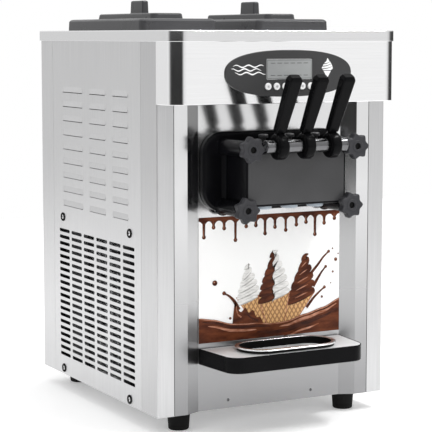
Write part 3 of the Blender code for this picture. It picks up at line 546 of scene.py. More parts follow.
def make_screws():
    """Casing screws: a domed cross head on the cap and front, and on the sides over a black cup washer."""
    cap_half = spans("top_cap")[0][1]
    places = []
    for side in (-1, 1):
        for depth, height in ((0.483, 0.361), (0.129, 0.362), (0.484, 0.014), (0.132, 0.0125)):
            places.append((sideways, depth, height, side * SIDE_SHEET, side, True))
        for depth in (0.039, 0.300, 0.579):
            places.append((sideways, depth, 0.770, side * (cap_half - 0.0009), side, False))
    for x in (-0.100, 0.100):
        places.append((upright, x, 0.017, RECESS, -1, False))
    washers, heads, small_heads, cross_recess_shades = bmesh.new(), bmesh.new(), bmesh.new(), bmesh.new()
    cup = ((0.0045, 0.0002), (0.0098, 0.0002), (0.0098, 0.0012), (0.0088, 0.0024), (0.0062, 0.0024),
           (0.0045, 0.0012))
    for place, a, b, base, way, washer in places:
        if washer:
            turned(place, a, b, [(r, base + way * lift) for r, lift in cup], 32, washers, closed=True)
        reach, lift, arm = (0.0052, 0.0024, 0.0030) if washer else (0.0032, 0.0008, 0.0018)
        dome = [(reach * math.cos(q), lift * (0.25 + 0.75 * math.sin(q))) for q in (0.0, 0.3, 0.6, 0.9, 1.2)]
        profile = [(r, base + way * rise) for r, rise in [(reach, 0.0)] + dome + [(reach * 0.20, lift)]]
        turned(place, a, b, profile, 24, small_heads if place is upright else heads)
        # Each black star is painted shade for the cross recess in the screw head.
        star = []
        for quarter in range(4):
            for angle, share in ((-0.25, 1.0), (0.25, 1.0), (math.pi / 4, 0.36)):
                turn = quarter * math.pi / 2 + angle
                star.append((a + arm * share * math.cos(turn), b + arm * share * math.sin(turn)))
        prism(place, star, (base + way * lift * 0.8, base + way * lift * 1.04), cross_recess_shades)
    finished("screw_washers", washers, RUBBER)
    finished("casing_screw_heads", heads, CHROME)
    finished("front_screw_heads", small_heads, BARREL_STEEL)
    finished("screw_recess_painted_shade", cross_recess_shades, KNOB_CORE)


def make_seams():
    """Black strips in the joints between the posts and the sheets beside them: painted shade for the gaps
    there.
    """
    bm = bmesh.new()
    heights = (0.001, spans("head_cover")[2][0])
    edge = abs(spans("left_front_post")[0][1])
    for x in (-edge, edge):
        crate((x - 0.0006, x + 0.0006), (-0.00015, 0.0010), heights, bm)
    # These black strips are painted shade in the seam gaps.
    finished("post_seam_painted_shade", bm, RUBBER)


def make_feet():
    for name in ("front_left", "front_right", "rear_left", "rear_right"):
        node = f"foot_{name}"
        x, depth, _ = middles(node)
        bottom, top = spans(node)[2]
        profile = (
            (0.012, bottom + 0.002), (0.015, bottom), (0.0195, bottom), (0.0212, bottom + 0.0012),
            (0.0216, bottom + 0.004), (0.0234, top - 0.010), (0.0240, top - 0.008), (0.0240, top),
        )
        finished(f"{node}_rubber", turned(flat, x, depth, profile), RUBBER, node)


# ---- head and cap ----

HOPPER_RIM, HOPPER_FLOOR = 0.0055, 0.600
FEED_DEPTH, FEED_BORE, FEED_OUTER, FEED_END = 0.190, 0.008, 0.012, 0.5605
HEAD_CORNER, CAP_CORNER = 0.041, 0.0438


def round_front(half, front, rear, corner, rear_corner):
    """Outline of the head in plan: square at the back, two large round corners at the front."""
    left = bent([(0, rear), (-half, rear), (-half, front + 0.1)], rear_corner, 4)[1:-1]
    left += bent([(-half, front + 0.1), (-half, front), (0, front)], corner, 20)[1:-1]
    return left + [(-x, depth) for x, depth in left[::-1]]


def make_head():
    (_, half), depths, (bottom, top) = spans("head_cover")
    outline = round_front(half, *depths, HEAD_CORNER, 0.0002)
    profile = [(SHEET, bottom + SHEET), (SHEET, top)] + softened(4, top, bottom, 0.0012) + [(SHEET, top)]
    shell = stepped(flat, outline, profile)
    finished("head_shell", shell, COVER_STEEL, "head_cover", angle=40)


def make_cap():
    (_, half), depths, (bottom, top) = spans("top_cap")
    profile = [(SHEET, top - 0.0017), (SHEET, bottom), (0.0003, bottom), (0.0, bottom + 0.0004)]
    profile += softened(5, bottom + 0.001, top, 0.0022)
    shell = stepped(flat, round_front(half, *depths, CAP_CORNER, 0.0025), profile)
    cap = finished("cap_shell", shell, CAP_STEEL, "top_cap", angle=40)
    for name in ("left_hopper", "right_hopper"):
        cut(cap, prism(flat, inset(hopper_outline(name), -0.0003), (bottom - CUT, top + CUT)))


def hopper_outline(name):
    """The hopper's wall in plan, inside its rim."""
    (left, right), (front, rear), _ = spans(name)
    shape = rounded_rect(right - left - 2 * HOPPER_RIM, rear - front - 2 * HOPPER_RIM, 0.022, 8)
    return moved(shape, *middles(name)[:2])


def make_hoppers():
    lip = spans("top_cap")[2][1] + 0.0003
    floor = HOPPER_FLOOR
    for name in ("left_hopper", "right_hopper"):
        profile = (
            (SHEET + 0.012, floor + SHEET), (SHEET + 0.0055, floor + 0.0045), (SHEET, floor + 0.014),
            (SHEET, lip + 0.0006), (SHEET - 0.0006, lip + 0.0012), (0.0004 - HOPPER_RIM, lip + 0.0012),
            (-HOPPER_RIM, lip + 0.0008), (-HOPPER_RIM, lip), (0.0, lip), (0.0, floor + 0.0134),
            (0.012, floor),
        )
        shell = stepped(flat, hopper_outline(name), profile)
        tank = finished(f"{name}_tank", shell, TANK_STEEL, name, angle=50)
        x = middles(name)[0]
        cut(tank, turned(flat, x, FEED_DEPTH, ((FEED_BORE, floor - 0.05), (FEED_BORE, floor + 0.05)), 24))
        end = floor + 0.001
        pipe = ((FEED_BORE, FEED_END), (FEED_OUTER, FEED_END), (FEED_OUTER, end), (FEED_BORE, end))
        pipe = turned(flat, x, FEED_DEPTH, pipe, 24, closed=True)
        finished(f"{name}_feed_pipe", pipe, TANK_STEEL)


def make_lids():
    for name in ("left", "right"):
        node = f"{name}_hopper_lid"
        (left, right), (front, rear), (bottom, top) = spans(node)
        place = middles(node)[:2]
        base, tier, wall = bottom + 0.0247, bottom + 0.0367, 0.003
        shell = (
            (0.058, tier - wall, 0.012), (0.057, base - wall, 0.013), (wall + 0.002, base - wall, 0.010),
            (wall, bottom, 0.012), (0.0004, bottom, 0.014), (0.0, bottom + 0.0005, 0.014),
            (0.0008, base - 0.0050, 0.014), (0.0022, base - 0.0030, 0.0135), (0.0050, base - 0.0008, 0.013),
            (0.0085, base, 0.012), (0.0505, base + 0.0003, 0.0145), (0.0518, base + 0.0012, 0.0143),
            (0.0530, tier - 0.0035, 0.014), (0.0536, tier - 0.0018, 0.0135), (0.0550, tier - 0.0005, 0.013),
            (0.0570, tier, 0.012),
        )
        grip = (
            (-0.0028, tier - 0.0010), (-0.0012, tier + 0.0002), (0.0, tier + 0.0020), (0.0008, top - 0.0040),
            (0.0012, top - 0.0020), (0.0022, top - 0.0006), (0.0040, top),
        )
        grip = [(gap, height, 0.0032) for gap, height in grip]
        bm = bmesh.new()
        for width, deep, steps, profile in ((right - left, rear - front, 8, shell), (0.016, 0.063, 5, grip)):
            loft([
                flat(moved(rounded_rect(width - 2 * gap, deep - 2 * gap, radius, steps), *place), height)
                for gap, height, radius in profile
            ], bm)
        finished(f"{name}_lid_cover", bm, LID_GREY, node, node, angle=28)


# ---- controls ----

def superellipse(width, tall, power, sides=96):
    points = []
    for x, y in circle(1.0, sides):
        fuller = 1 / (abs(x) ** power + abs(y) ** power) ** (1 / power)
        points.append((x * fuller * width / 2, y * fuller * tall / 2))
    return points


def make_controls():
    (left, right), (front, back), (bottom, top) = spans("control_bezel")
    outline = moved(superellipse(right - left, top - bottom, 2.4), 0, middles("control_bezel")[2])
    plate = stepped(upright, outline, softened(4, back, front, 0.0012))
    bezel = finished("bezel_plate", plate, BEZEL_GREY, "control_bezel")
    (lens_left, lens_right), (lens_front, _), (lens_bottom, lens_top) = spans("display_lens")
    width, tall, middle = lens_right - lens_left, lens_top - lens_bottom, middles("display_lens")[2]
    through = (back + 0.005, front - 0.005)
    holes = prism(upright, moved(rounded_rect(width + 0.0006, tall + 0.0006, 0.0016, 4), 0, middle), through)
    for number in range(1, 7):
        (start, end), _, _ = spans(f"button_{number}")
        x, _, height = middles(f"button_{number}")
        radius = (end - start) / 2
        turned(upright, x, height, [(radius + 0.0003, depth) for depth in through], 40, holes)
        make_button(number, x, height, radius, front)
    cut(bezel, holes)
    shape = moved(rounded_rect(width - 0.0002, tall - 0.0002, 0.0014, 4), 0, middle)
    window = stepped(upright, shape, ((0.0, back), (0.0, lens_front + 0.0003), (0.0003, lens_front)))
    finished("display_window", window, DISPLAY, "display_lens")
    make_display_marks(width, tall, middle, lens_front)
    make_oval_marks(front)


def make_button(number, x, height, radius, front):
    node = f"button_{number}"
    face, back = spans(node)[1]
    profile = (
        (0.0024, back), (0.0024, front + 0.0006), (radius, front + 0.0006), (radius, face + 0.0011),
        (radius * 0.97, face + 0.0005), (radius * 0.88, face + 0.0001), (radius * 0.55, face + 0.00015),
        (radius * 0.25, face + 0.0002),
    )
    finished(f"{node}_cap", turned(upright, x, height, profile, 40), BUTTON, node, node)
    mark = bmesh.new()
    bars = 2 + number % 3
    for bar in range(bars):
        turn = math.pi * bar / bars + 0.3 * number
        along = Vector((math.cos(turn), math.sin(turn)))
        across = Vector((-along.y, along.x)) * radius * 0.055
        along *= radius * 0.46
        corners = (along + across, across - along, -along - across, along - across)
        prism(upright, moved(corners, x, height), (face + 0.0003, face + 0.00004 * (bar % 2)), mark)
    finished(f"{node}_mark", mark, ICON_GREY, body=node)


def make_display_marks(width, tall, middle, front):
    """The unlit display's frame line and the ghosts of its bar segments."""
    depths = (front + 0.0002, front - 0.00005)
    outline = moved(rounded_rect(width - 0.004, tall - 0.004, 0.001, 3), 0, middle)
    line = 0.0005
    profile = ((0.0, depths[0]), (0.0, depths[1]), (line, depths[1]), (line, depths[0]))
    bm = stepped(upright, outline, profile, closed=True)
    for column in range(6):
        for row in (-1, 1):
            bar = rounded_rect(width / 10, 0.0010, 0.0004, 2)
            prism(upright, moved(bar, (column - 2.5) * width / 7, middle + row * tall * 0.30), depths, bm)
    finished("display_marks", bm, CHARCOAL)


def make_oval_marks(front):
    """Two generic marks printed on the oval: a stack of waves, and a swirl over a cone."""
    depths = (front + 0.0001, front - LAYER)
    waves, swirl, gaps = bmesh.new(), bmesh.new(), bmesh.new()
    for row, (start, end) in enumerate(((-0.130, -0.060), (-0.134, -0.066), (-0.126, -0.056))):
        upper, lower = [], []
        for i in range(41):
            t = i / 40
            x = start + (end - start) * t
            z = 0.7075 - row * 0.0072 + 0.0022 * math.sin(5 * math.pi * t + row)
            half = 0.0012 * math.sin(math.pi * t) ** 0.5 + 0.0002
            upper.append((x, z + half))
            lower.append((x, z - half))
        prism(upright, lower + upper[::-1], depths, waves)
    finished("oval_wave_mark", waves, INK_WHITE)
    centre = 0.0895
    body = ((-0.0085, 0.6975), (-0.0132, 0.7015), (-0.0105, 0.7080), (-0.0065, 0.7130), (-0.0020, 0.7170),
            (0.0002, 0.7225), (0.0042, 0.7175), (0.0082, 0.7130), (0.0112, 0.7075), (0.0128, 0.7015),
            (0.0085, 0.6980))
    cone = ((0.0086, 0.6966), (0.0008, 0.6832), (-0.0008, 0.6832), (-0.0086, 0.6962))
    for outline in (smooth_through(body, 6), cone):
        prism(upright, moved(outline, centre, 0), depths, swirl)
    for line in (((-0.0150, 0.7005), (0.0110, 0.7050)), ((-0.0120, 0.7060), (0.0085, 0.7105)),
                 ((-0.0085, 0.7110), (0.0055, 0.7150))):
        (x0, z0), (x1, z1) = line
        sagging = ((x0, z0), ((x0 + x1) / 2, (z0 + z1) / 2 - 0.0012), (x1, z1))
        shape = stroke(moved(sagging, centre, 0), 0.0009, 0.0003)
        prism(upright, shape, (depths[0], front - 2 * LAYER), gaps)
    finished("oval_swirl_gaps", gaps, BEZEL_GREY)
    finished("oval_swirl_mark", swirl, INK_WHITE)


# ---- poster ----

POSTER_HALF = spans("poster_sheet")[0][1]
POSTER_FRONT = spans("poster_sheet")[1][0]
POSTER_BOTTOM, POSTER_TOP = spans("poster_sheet")[2]


def print_shape(bm, outline, layer):
    """Adds one flat printed area, a hair proud of the layers under it."""
    prism(upright, outline, (POSTER_FRONT + 0.0001, POSTER_FRONT - layer * LAYER), bm)


def drop(x, height, radius, tail=(0.0, 0.0), sides=20):
    """A round drop whose tail runs to a point at tail from its centre."""
    points = []
    for px, pz in circle(radius, sides):
        here = Vector((px, pz))
        if any(tail):
            along = Vector(tail).normalized()
            ahead = here.dot(along) / radius
            if ahead > 0:
                forward = along * ahead * radius
                stretch = along * (Vector(tail).length - radius) * ahead ** 4
                here = forward + stretch + (here - forward) * (1 - 0.75 * ahead)
        points.append((x + here.x, height + here.y))
    return points


def drips(bm, top, layer):
    """Chocolate running down from the poster's top edge, in drips of uneven length."""
    count, band, steps = 14, 0.0080, 620
    spots = []
    for i in range(count):
        x = -POSTER_HALF + (i + 0.5) * 2 * POSTER_HALF / count + 0.002 * math.sin(5.1 * i)
        spots.append((x, 0.031 + 0.011 * math.sin(2.3 * i + 1.0) + 0.008 * math.sin(4.7 * i)))
    profile = []
    for i in range(steps + 1):
        x = -POSTER_HALF + 2 * POSTER_HALF * i / steps
        reach = band
        for spot, length in spots:
            away = abs(x - spot)
            if away < 0.012:
                reach = max(reach, band + 0.012 * (1 - away / 0.012) ** 2.2)
            if away < 0.0029:
                reach = max(reach, length)
        profile.append((x, top - reach))
    print_shape(bm, profile + [(POSTER_HALF, top), (-POSTER_HALF, top)], layer)
    return spots


# how high the wave stands above the poster's foot, at shares of its width
WAVE = ((0.0, 0.052), (0.10, 0.046), (0.22, 0.037), (0.36, 0.0325), (0.50, 0.029), (0.62, 0.0315),
        (0.76, 0.041), (0.88, 0.0535), (1.0, 0.069))


def wave_top(x):
    """Height of the chocolate wave along the poster's foot."""
    t = (x + POSTER_HALF) / (2 * POSTER_HALF)
    for (start, low), (end, high) in zip(WAVE, WAVE[1:]):
        if t <= end:
            break
    share = (t - start) / (end - start)
    share = share * share * (3 - 2 * share) * 0.45 + share * 0.55
    return POSTER_BOTTOM + low + (high - low) * share + 0.0012 * math.sin(19 * t)


def band_under_wave(bm, low, high, layer, start=0.0, end=1.0):
    steps = 120
    middle = (low + high) / 2
    upper, lower = [], []
    for i in range(steps + 1):
        x = -POSTER_HALF + 2 * POSTER_HALF * (start + (end - start) * i / steps)
        fade = math.sin(math.pi * i / steps) ** 0.5 if (start, end) != (0.0, 1.0) else 1.0
        half = (high - low) / 2 * fade + 0.0001
        upper.append((x, wave_top(x) + middle + half))
        lower.append((x, max(POSTER_BOTTOM, wave_top(x) + middle - half)))
    print_shape(bm, lower + upper[::-1], layer)


def swirl_tiers(centre, base, half, tall, tiers, lean):
    """(outline, share) of each turn of a soft serve swirl, narrowing towards its tip."""
    result = []
    thick = tall / tiers * 1.02
    for tier in range(tiers):
        t = tier / tiers
        reach = half * (0.12 + 0.88 * (1 - t ** 1.5) ** 0.9)
        height, middle = base + tall * t * 0.88, centre + lean * t
        upper, lower = [], []
        for i in range(29):
            s = i / 28
            bulge = math.sin(math.pi * s) ** 0.4
            slope = (s - 0.5) * thick * 1.25
            x = middle - reach + 2 * reach * s
            upper.append((x, height + slope + thick * 0.85 * bulge))
            lower.append((x, height + slope - thick * 0.45 * bulge))
        result.append((lower[1:-1] + upper[::-1], t))
    tip = ((-0.22, 0.0), (0.20, 0.02), (0.13, 0.08), (0.30, 0.15), (0.06, 0.16), (-0.16, 0.09), (-0.22, 0.0))
    tip = [(centre + lean + half * x, base + tall * (0.84 + z)) for x, z in tip]
    result.append((smooth_through(tip, 4)[:-1], 1.0))
    return result


def clipped(outline, centre, side, lean):
    """The part of an outline on one side of a line up the swirl's middle that snakes a little."""
    kept = []
    for x, z in outline:
        edge = centre + lean * 0.5 + 0.0030 * math.sin(z * 230.0)
        kept.append((max(x, edge) if side > 0 else min(x, edge), z))
    return kept


def crescent(outline, lift, raise_by=0.0, share=1.0):
    """A sliver along an outline's lower edge, or along a copy of that edge higher up and shorter."""
    half = len(outline) // 2
    trimmed = int(half * (1 - share) / 2)
    lower = [(x, z + raise_by) for x, z in outline[trimmed:half - trimmed]]
    count = len(lower)
    upper = [(x, z + lift * math.sin(math.pi * (i + 0.5) / count)) for i, (x, z) in enumerate(lower)]
    return lower + upper[::-1]


# centre, base, half width, height, turns, lean, foot and flavour of each swirl on its cone
CONES = (
    (-0.053, 0.224, 0.0290, 0.074, 5, -0.004, -0.018, "cream"),
    (0.074, 0.219, 0.0350, 0.092, 5, 0.008, 0.038, "chocolate"),
    (0.008, 0.225, 0.0390, 0.098, 6, -0.002, 0.012, "twist"),
)
TENDRILS = (
    ((0.098, 0.268), (0.116, 0.286), (0.128, 0.300), (0.142, 0.312), 0.0030, 0.0034),
    ((0.104, 0.240), (0.114, 0.254), (0.124, 0.268), (0.135, 0.280), 0.0036, 0.0032),
    ((0.088, 0.196), (0.104, 0.214), (0.118, 0.226), (0.132, 0.236), 0.0030, 0.0034),
    ((-0.076, 0.204), (-0.086, 0.222), (-0.098, 0.234), (-0.110, 0.241), 0.0046, 0.0044),
)
DROPS = (
    (-0.132, 0.264, 0.0056), (0.160, 0.294, 0.0036), (0.153, 0.268, 0.0022), (0.126, 0.216, 0.0024),
    (0.166, 0.306, 0.0014), (-0.096, 0.188, 0.0026), (0.148, 0.244, 0.0012), (0.152, 0.318, 0.0016),
)
CROWN = ((-0.092, 0.160), (-0.088, 0.200), (-0.084, 0.222), (-0.079, 0.207), (-0.070, 0.199), (-0.060, 0.207),
         (-0.052, 0.196), (-0.042, 0.201), (-0.034, 0.186), (-0.024, 0.184), (-0.014, 0.160))
FOOT_HEIGHT = POSTER_BOTTOM + 0.020


def print_swirl(inks, layer, centre, base, half, tall, tiers, lean, foot, kind):
    cone = [(centre - half * 0.98, base + 0.006), (foot - half * 0.50, FOOT_HEIGHT),
            (foot + half * 0.50, FOOT_HEIGHT), (centre + half * 0.98, base + 0.010), (centre, base + 0.004)]
    print_shape(inks["wafers"], cone, layer)
    for top_corner, foot_corner in ((cone[0], cone[1]), (cone[3], cone[2])):
        print_shape(inks["highlights"], stroke((top_corner, foot_corner), 0.0011, 0.0007), layer + 0.2)
    for outline, share in swirl_tiers(centre, base, half, tall, tiers, lean):
        step = layer + 0.5 + share
        if kind == "twist":
            dark_side, pale_side = clipped(outline, centre, -1, lean), clipped(outline, centre, 1, lean)
            print_shape(inks["chocolate"], dark_side, step)
            print_shape(inks["cream"], pale_side, step + 0.05)
            print_shape(inks["shadows"], crescent(dark_side, 0.0034), step + 0.1)
            print_shape(inks["cream_shadows"], crescent(pale_side, 0.0028), step + 0.15)
            continue
        print_shape(inks[kind], outline, step)
        under = inks["cream_shadows" if kind == "cream" else "shadows"]
        print_shape(under, crescent(outline, 0.0032), step + 0.1)
        if kind == "cream":
            print_shape(under, crescent(outline, 0.0012, tall / tiers * 0.55, 0.5), step + 0.12)
        elif share < 1:
            print_shape(inks["highlights"], crescent(outline, 0.0026, tall / tiers * 0.60, 0.5), step + 0.12)


def make_poster():
    sheet = crate((-POSTER_HALF, POSTER_HALF), (POSTER_FRONT, RECESS - 0.0003), (POSTER_BOTTOM, POSTER_TOP))
    finished("poster_film_sheet", sheet, FILM, "poster_sheet")
    looks = {"chocolate": CHOCOLATE, "highlights": CHOCOLATE_LIGHT, "shadows": CHOCOLATE_DARK, "cream": CREAM,
             "cream_shadows": CREAM_SHADE, "wafers": WAFFLE}
    inks = {name: bmesh.new() for name in looks}
    chocolate, light, dark = inks["chocolate"], inks["highlights"], inks["shadows"]
    for x, length in drips(chocolate, POSTER_TOP, 1):
        end = POSTER_TOP - length
        print_shape(chocolate, drop(x, end, 0.0043), 2)
        print_shape(dark, stroke(((x + 0.0014, POSTER_TOP - 0.012), (x + 0.0014, end)), 0.0007, 0.0009), 3)
        print_shape(light, drop(x - 0.0010, end + 0.0006, 0.0009, (0, 0.014), 16), 4)
    for index, cone in enumerate(CONES):
        print_swirl(inks, 1 + 3 * index, *cone)
    print_shape(chocolate, smooth_through(CROWN, 6), 9)
    print_shape(light, stroke(((-0.082, 0.212), (-0.079, 0.196), (-0.070, 0.188)), 0.0008, 0.0016), 10)
    print_shape(dark, stroke(((-0.060, 0.198), (-0.048, 0.186), (-0.030, 0.178)), 0.0010, 0.0024), 10)
    for *points, start, end in TENDRILS:
        (x, z), (before_x, before_z) = points[-1], points[-2]
        print_shape(chocolate, stroke(points, start, 0.0011), 9)
        print_shape(chocolate, drop(x, z, end, (before_x - x, before_z - z)), 9.2)
        print_shape(light, drop(x - end * 0.3, z + end * 0.3, end * 0.28, sides=12), 10)
    for x, height, radius in DROPS:
        print_shape(chocolate, drop(x, height, radius), 9)
        print_shape(light, drop(x - radius * 0.3, height + radius * 0.3, radius * 0.26, sides=12), 10)
    band_under_wave(chocolate, -0.100, 0.0, 10)
    band_under_wave(dark, -0.0100, -0.0045, 11, 0.02, 0.50)
    band_under_wave(dark, -0.0240, -0.0150, 11, 0.40, 0.98)
    band_under_wave(light, -0.0024, -0.0006, 12)
    band_under_wave(light, -0.0170, -0.0120, 12, 0.06, 0.40)
    band_under_wave(light, -0.0120, -0.0060, 12, 0.56, 0.98)
    band_under_wave(light, -0.0340, -0.0300, 12, 0.60, 0.85)
    for name, look in looks.items():
        finished(f"poster_{name}", inks[name], look)


# ---- dispensing valve ----

PIVOT = middles("pivot_rod")[1:]
SPOUTS = [(name, middles(f"{name}_plunger")[0]) for name in ("left", "middle", "right")]
VALVE_DEPTH = middles("middle_nozzle")[1]
BLOCK_BOTTOM, BLOCK_TOP, BLOCK_HALF, BLOCK_FRONT = 0.428, 0.538, 0.1165, -0.090
FLANGE_THICK, FLANGE_TALL, FLANGE_MIDDLE = 0.015, 0.163, 0.4935
LEVER_LEAN = math.radians(28.5)
HUB_RADIUS, HUB_HALF, GRIP_START, GRIP_END = 0.0264, 0.0109, 0.0265, 0.1519
KNOBS = [f"{row}_{side}_star_knob" for row in ("lower", "upper") for side in ("left", "right")]


def make_valve_block():
    (_, half), (_, back), _ = spans("valve_block")
    front = back - FLANGE_THICK
    outline = moved(rounded_rect(2 * half, FLANGE_TALL, 0.045, 16), 0, FLANGE_MIDDLE)
    profile = [(0.0, back)] + softened(6, back - 0.002, front, 0.0065) + [(0.018, front - 0.0004)]
    flange = stepped(upright, outline, profile)
    finished("valve_block_flange", flange, BLOCK_BLACK, angle=35)
    outline = rounded_rect(2 * BLOCK_HALF, BLOCK_TOP - BLOCK_BOTTOM, 0.012, 10)
    outline = moved(outline, 0, (BLOCK_TOP + BLOCK_BOTTOM) / 2)
    skirt = [(-0.010, front), (-0.006, front - 0.0014), (-0.0025, front - 0.0045), (0.0, front - 0.010)]
    body = stepped(upright, outline, skirt + softened(5, -0.060, BLOCK_FRONT + 0.0002, 0.0028))
    face = ((0.0045, BLOCK_FRONT + 0.001), (0.0045, BLOCK_FRONT), (0.0049, BLOCK_FRONT - 0.0002))
    finished("valve_block_face", stepped(upright, outline, face), BLOCK_FACE)
    bosses = bmesh.new()
    for name in KNOBS:
        x, _, height = middles(name)
        end = spans(name)[1][1] + 0.0003
        profile = ((0.0195, front + 0.001), (0.0170, front - 0.004), (0.0160, front - 0.010),
                   (0.0160, end + 0.0015), (0.0145, end))
        turned(upright, x, height, profile, 40, bosses)
    finished("valve_block_bosses", bosses, BLOCK_BLACK, angle=35)
    block = finished("valve_block_body", body, BLOCK_BLACK, "valve_block", angle=35)
    bores = bmesh.new()
    for _, x in SPOUTS:
        turned(flat, x, VALVE_DEPTH, ((0.0120, 0.40), (0.0120, 0.60)), 32, bores)
    cut(block, bores)


def make_barrels():
    """The bearings between the levers, and the webs that carry them from the block."""
    depth, height = PIVOT
    outer, hub_half, radius, bore = 0.0935, 0.0125, 0.0133, 0.0103
    ends = [-outer, *(x + gap for _, x in SPOUTS for gap in (-hub_half, hub_half)), outer]
    webs, barrels = bmesh.new(), bmesh.new()
    section = [(-0.075, BLOCK_TOP - 0.008), (depth - 0.002, height - radius + 0.001),
               (depth - 0.002, height + radius - 0.002), (-0.100, height + radius - 0.005),
               (-0.075, BLOCK_TOP + 0.003)]
    steps = ((bore, 0.0001), (radius - 0.001, 0.0001), (radius, 0.0010), (radius, 0.0034),
             (radius - 0.0006, 0.0040))
    for low, high in zip(ends[0::2], ends[1::2]):
        centre = (low + high) / 2
        web_half = min(0.0075, (high - low) / 2 - 0.002)
        prism(sideways, section, (centre - web_half, centre + web_half), webs)
        profile = [(r, low + gap) for r, gap in steps] + [(r, high - gap) for r, gap in steps[::-1]]
        turned(sideways, depth, height, profile, 40, barrels, closed=True)
    finished("pivot_webs", webs, BLOCK_BLACK, bevel=0.0012)
    finished("pivot_barrels", barrels, BARREL_STEEL, angle=25)


def make_nozzles():
    for name, x in SPOUTS:
        node = f"{name}_nozzle"
        (start, end), _, (bottom, top) = spans(node)
        radius = (end - start) / 2
        outside = ((radius - 0.0008, top), (radius, top - 0.0008), (radius, bottom + 0.0022),
                   (radius - 0.0007, bottom + 0.0008), (radius - 0.0022, bottom))
        inside = ((0.0078, bottom), (0.0072, bottom + 0.0006), (0.0072, top - 0.003), (0.0092, top))
        rings = [flat(moved(circle(r), x, VALVE_DEPTH), height) for r, height in outside]
        for r, height in inside:
            star = []
            for i, (px, py) in enumerate(circle(r)):
                share = 1 - 0.22 * (0.5 - 0.5 * math.cos(math.tau * i / 8))
                star.append((x + share * px, VALVE_DEPTH + share * py))
            rings.append(flat(star, height))
        finished(f"{name}_nozzle_tip", loft(rings, closed=True), NOZZLE, node)


def make_plungers():
    for name, x in SPOUTS:
        node = f"{name}_plunger"
        bottom, top = spans(node)[2]
        profile = (
            (0.0100, bottom), (0.0114, bottom + 0.0015), (0.0114, 0.440), (0.0106, 0.4405), (0.0106, 0.4430),
            (0.0114, 0.4435), (0.0114, 0.5425), (0.0108, 0.5440), (0.0052, 0.5447), (0.0050, top - 0.0077),
            (0.0090, top - 0.0074), (0.0099, top - 0.0066), (0.0099, top - 0.0020), (0.0085, top - 0.0003),
            (0.0060, top),
        )
        rod = turned(flat, x, VALVE_DEPTH, profile)
        finished(f"{node}_rod", rod, CHARCOAL, node, node)


def lever_sections(start, end):
    """(along, width, thickness, corner radius) up a lever's handle, from its hub to its tip."""
    sections = [
        (0.004, 0.0150, 0.0150, 0.005), (0.020, 0.0135, 0.0125, 0.004), (0.0242, 0.0138, 0.0128, 0.004),
        (0.0252, 0.0195, 0.0140, 0.0042), (0.0262, 0.0228, 0.0160, 0.0042), (0.0280, 0.0240, 0.0171, 0.0042),
    ]
    for share in (0.25, 0.5, 0.75):
        along = start + (end - 0.008 - start) * share
        sections.append((along, 0.0240 + 0.005 * share, 0.0171 + 0.0039 * share, 0.0042))
    return sections + [
        (end - 0.0095, 0.0288, 0.0209, 0.0042), (end - 0.0080, 0.0286, 0.0206, 0.0042),
        (end - 0.0068, 0.0280, 0.0200, 0.0040), (end - 0.0016, 0.0232, 0.0160, 0.0036),
        (end - 0.0006, 0.0218, 0.0148, 0.0034), (end, 0.0196, 0.0130, 0.0030),
    ]


def make_levers():
    depth, height = PIVOT
    lean = Matrix.Rotation(LEVER_LEAN, 4, "X")
    half_hub = (
        (0.0106, 0.0), (0.0180, 0.0), (HUB_RADIUS - 0.0042, 0.0004), (HUB_RADIUS - 0.0016, 0.0016),
        (HUB_RADIUS - 0.0003, 0.0038), (HUB_RADIUS, HUB_HALF - 0.0040),
    )
    hub = [(r, gap - HUB_HALF) for r, gap in half_hub] + [(r, HUB_HALF - gap) for r, gap in half_hub[::-1]]
    for name, x in SPOUTS:
        node = f"{name}_lever"
        bm = turned(sideways, depth, height, [(r, x + offset) for r, offset in hub], 64, closed=True)
        rings = []
        for along, wide, thick, radius in lever_sections(GRIP_START, GRIP_END):
            shape = moved(rounded_rect(wide, thick, radius, 5), 0, 0.014)
            up = along if along > 0.01 else 0.0170
            rings.append([at(x, depth, height) + lean @ Vector((px, py, up)) for px, py in shape])
        finished(f"{node}_handle", loft(rings, bm), BLACK, node, node, angle=30)
        near, far, slot_front = depth + 0.016, VALVE_DEPTH + 0.0155, VALVE_DEPTH - 0.012
        right = [(0.0098, near), (0.0098, far), (0.0062, far), (0.0062, slot_front)]
        outline = moved(right + [(-px, py) for px, py in right[::-1]], x, 0)
        fork = prism(flat, outline, (0.5492, 0.5553))
        finished(f"{node}_fork", fork, CHARCOAL, body=node, bevel=0.0006)


def make_star_knobs():
    lobes, sides, reach = 7, 112, 0.0273
    star = []
    for i in range(sides):
        angle = math.tau * i / sides
        r = reach - 0.0055 * (0.5 - 0.5 * math.cos(lobes * angle)) ** 0.75
        star.append((r * math.cos(angle), r * math.sin(angle)))
    # each ring is a plain circle of some radius, or the star at some share of its size
    front = ((0.0066, 0.0052), (0.0066, 0.0010), (0.0074, 0.0003), (0.0112, 0.0002), (0.0122, 0.0012),
             (0.0150, 0.0014))
    lobed = ((0.82, 0.0006), (0.90, 0.0001), (0.955, 0.0007), (0.988, 0.0020), (1.0, 0.0042), (1.0, 0.0125),
             (0.985, 0.0148), (0.93, 0.0160))
    for node in KNOBS:
        x, _, height = middles(node)
        face, end = spans(node)[1]
        rear = ((0.0118, 0.0162), (0.0106, 0.0175), (0.0104, end - face))
        rings = [(circle(r, sides), gap) for r, gap in front]
        rings += [([(px * share, pz * share) for px, pz in star], gap) for share, gap in lobed]
        rings += [(circle(r, sides), gap) for r, gap in rear]
        grip = loft([upright(moved(ring, x, height), face + gap) for ring, gap in rings])
        finished(f"{node}_grip", grip, KNOB_GREY, node, node, angle=38)
        core = ((0.0064, face + 0.0052), (0.0064, face + 0.0044), (0.0050, face + 0.0040))
        core = turned(upright, x, height, core, 32)
        finished(f"{node}_stud_end", core, KNOB_CORE, body=node)


# ---- drip shelf and tray ----

TRAY = "drip_tray"


def stadium(gap):
    """The tray's outline in plan, drawn in by gap."""
    (left, right), (front, rear), _ = spans(TRAY)
    width, deep = right - left - 2 * gap, rear - front - 2 * gap
    return moved(rounded_rect(width, deep, deep / 2 - 0.0005, 24), 0.0, middles(TRAY)[1])


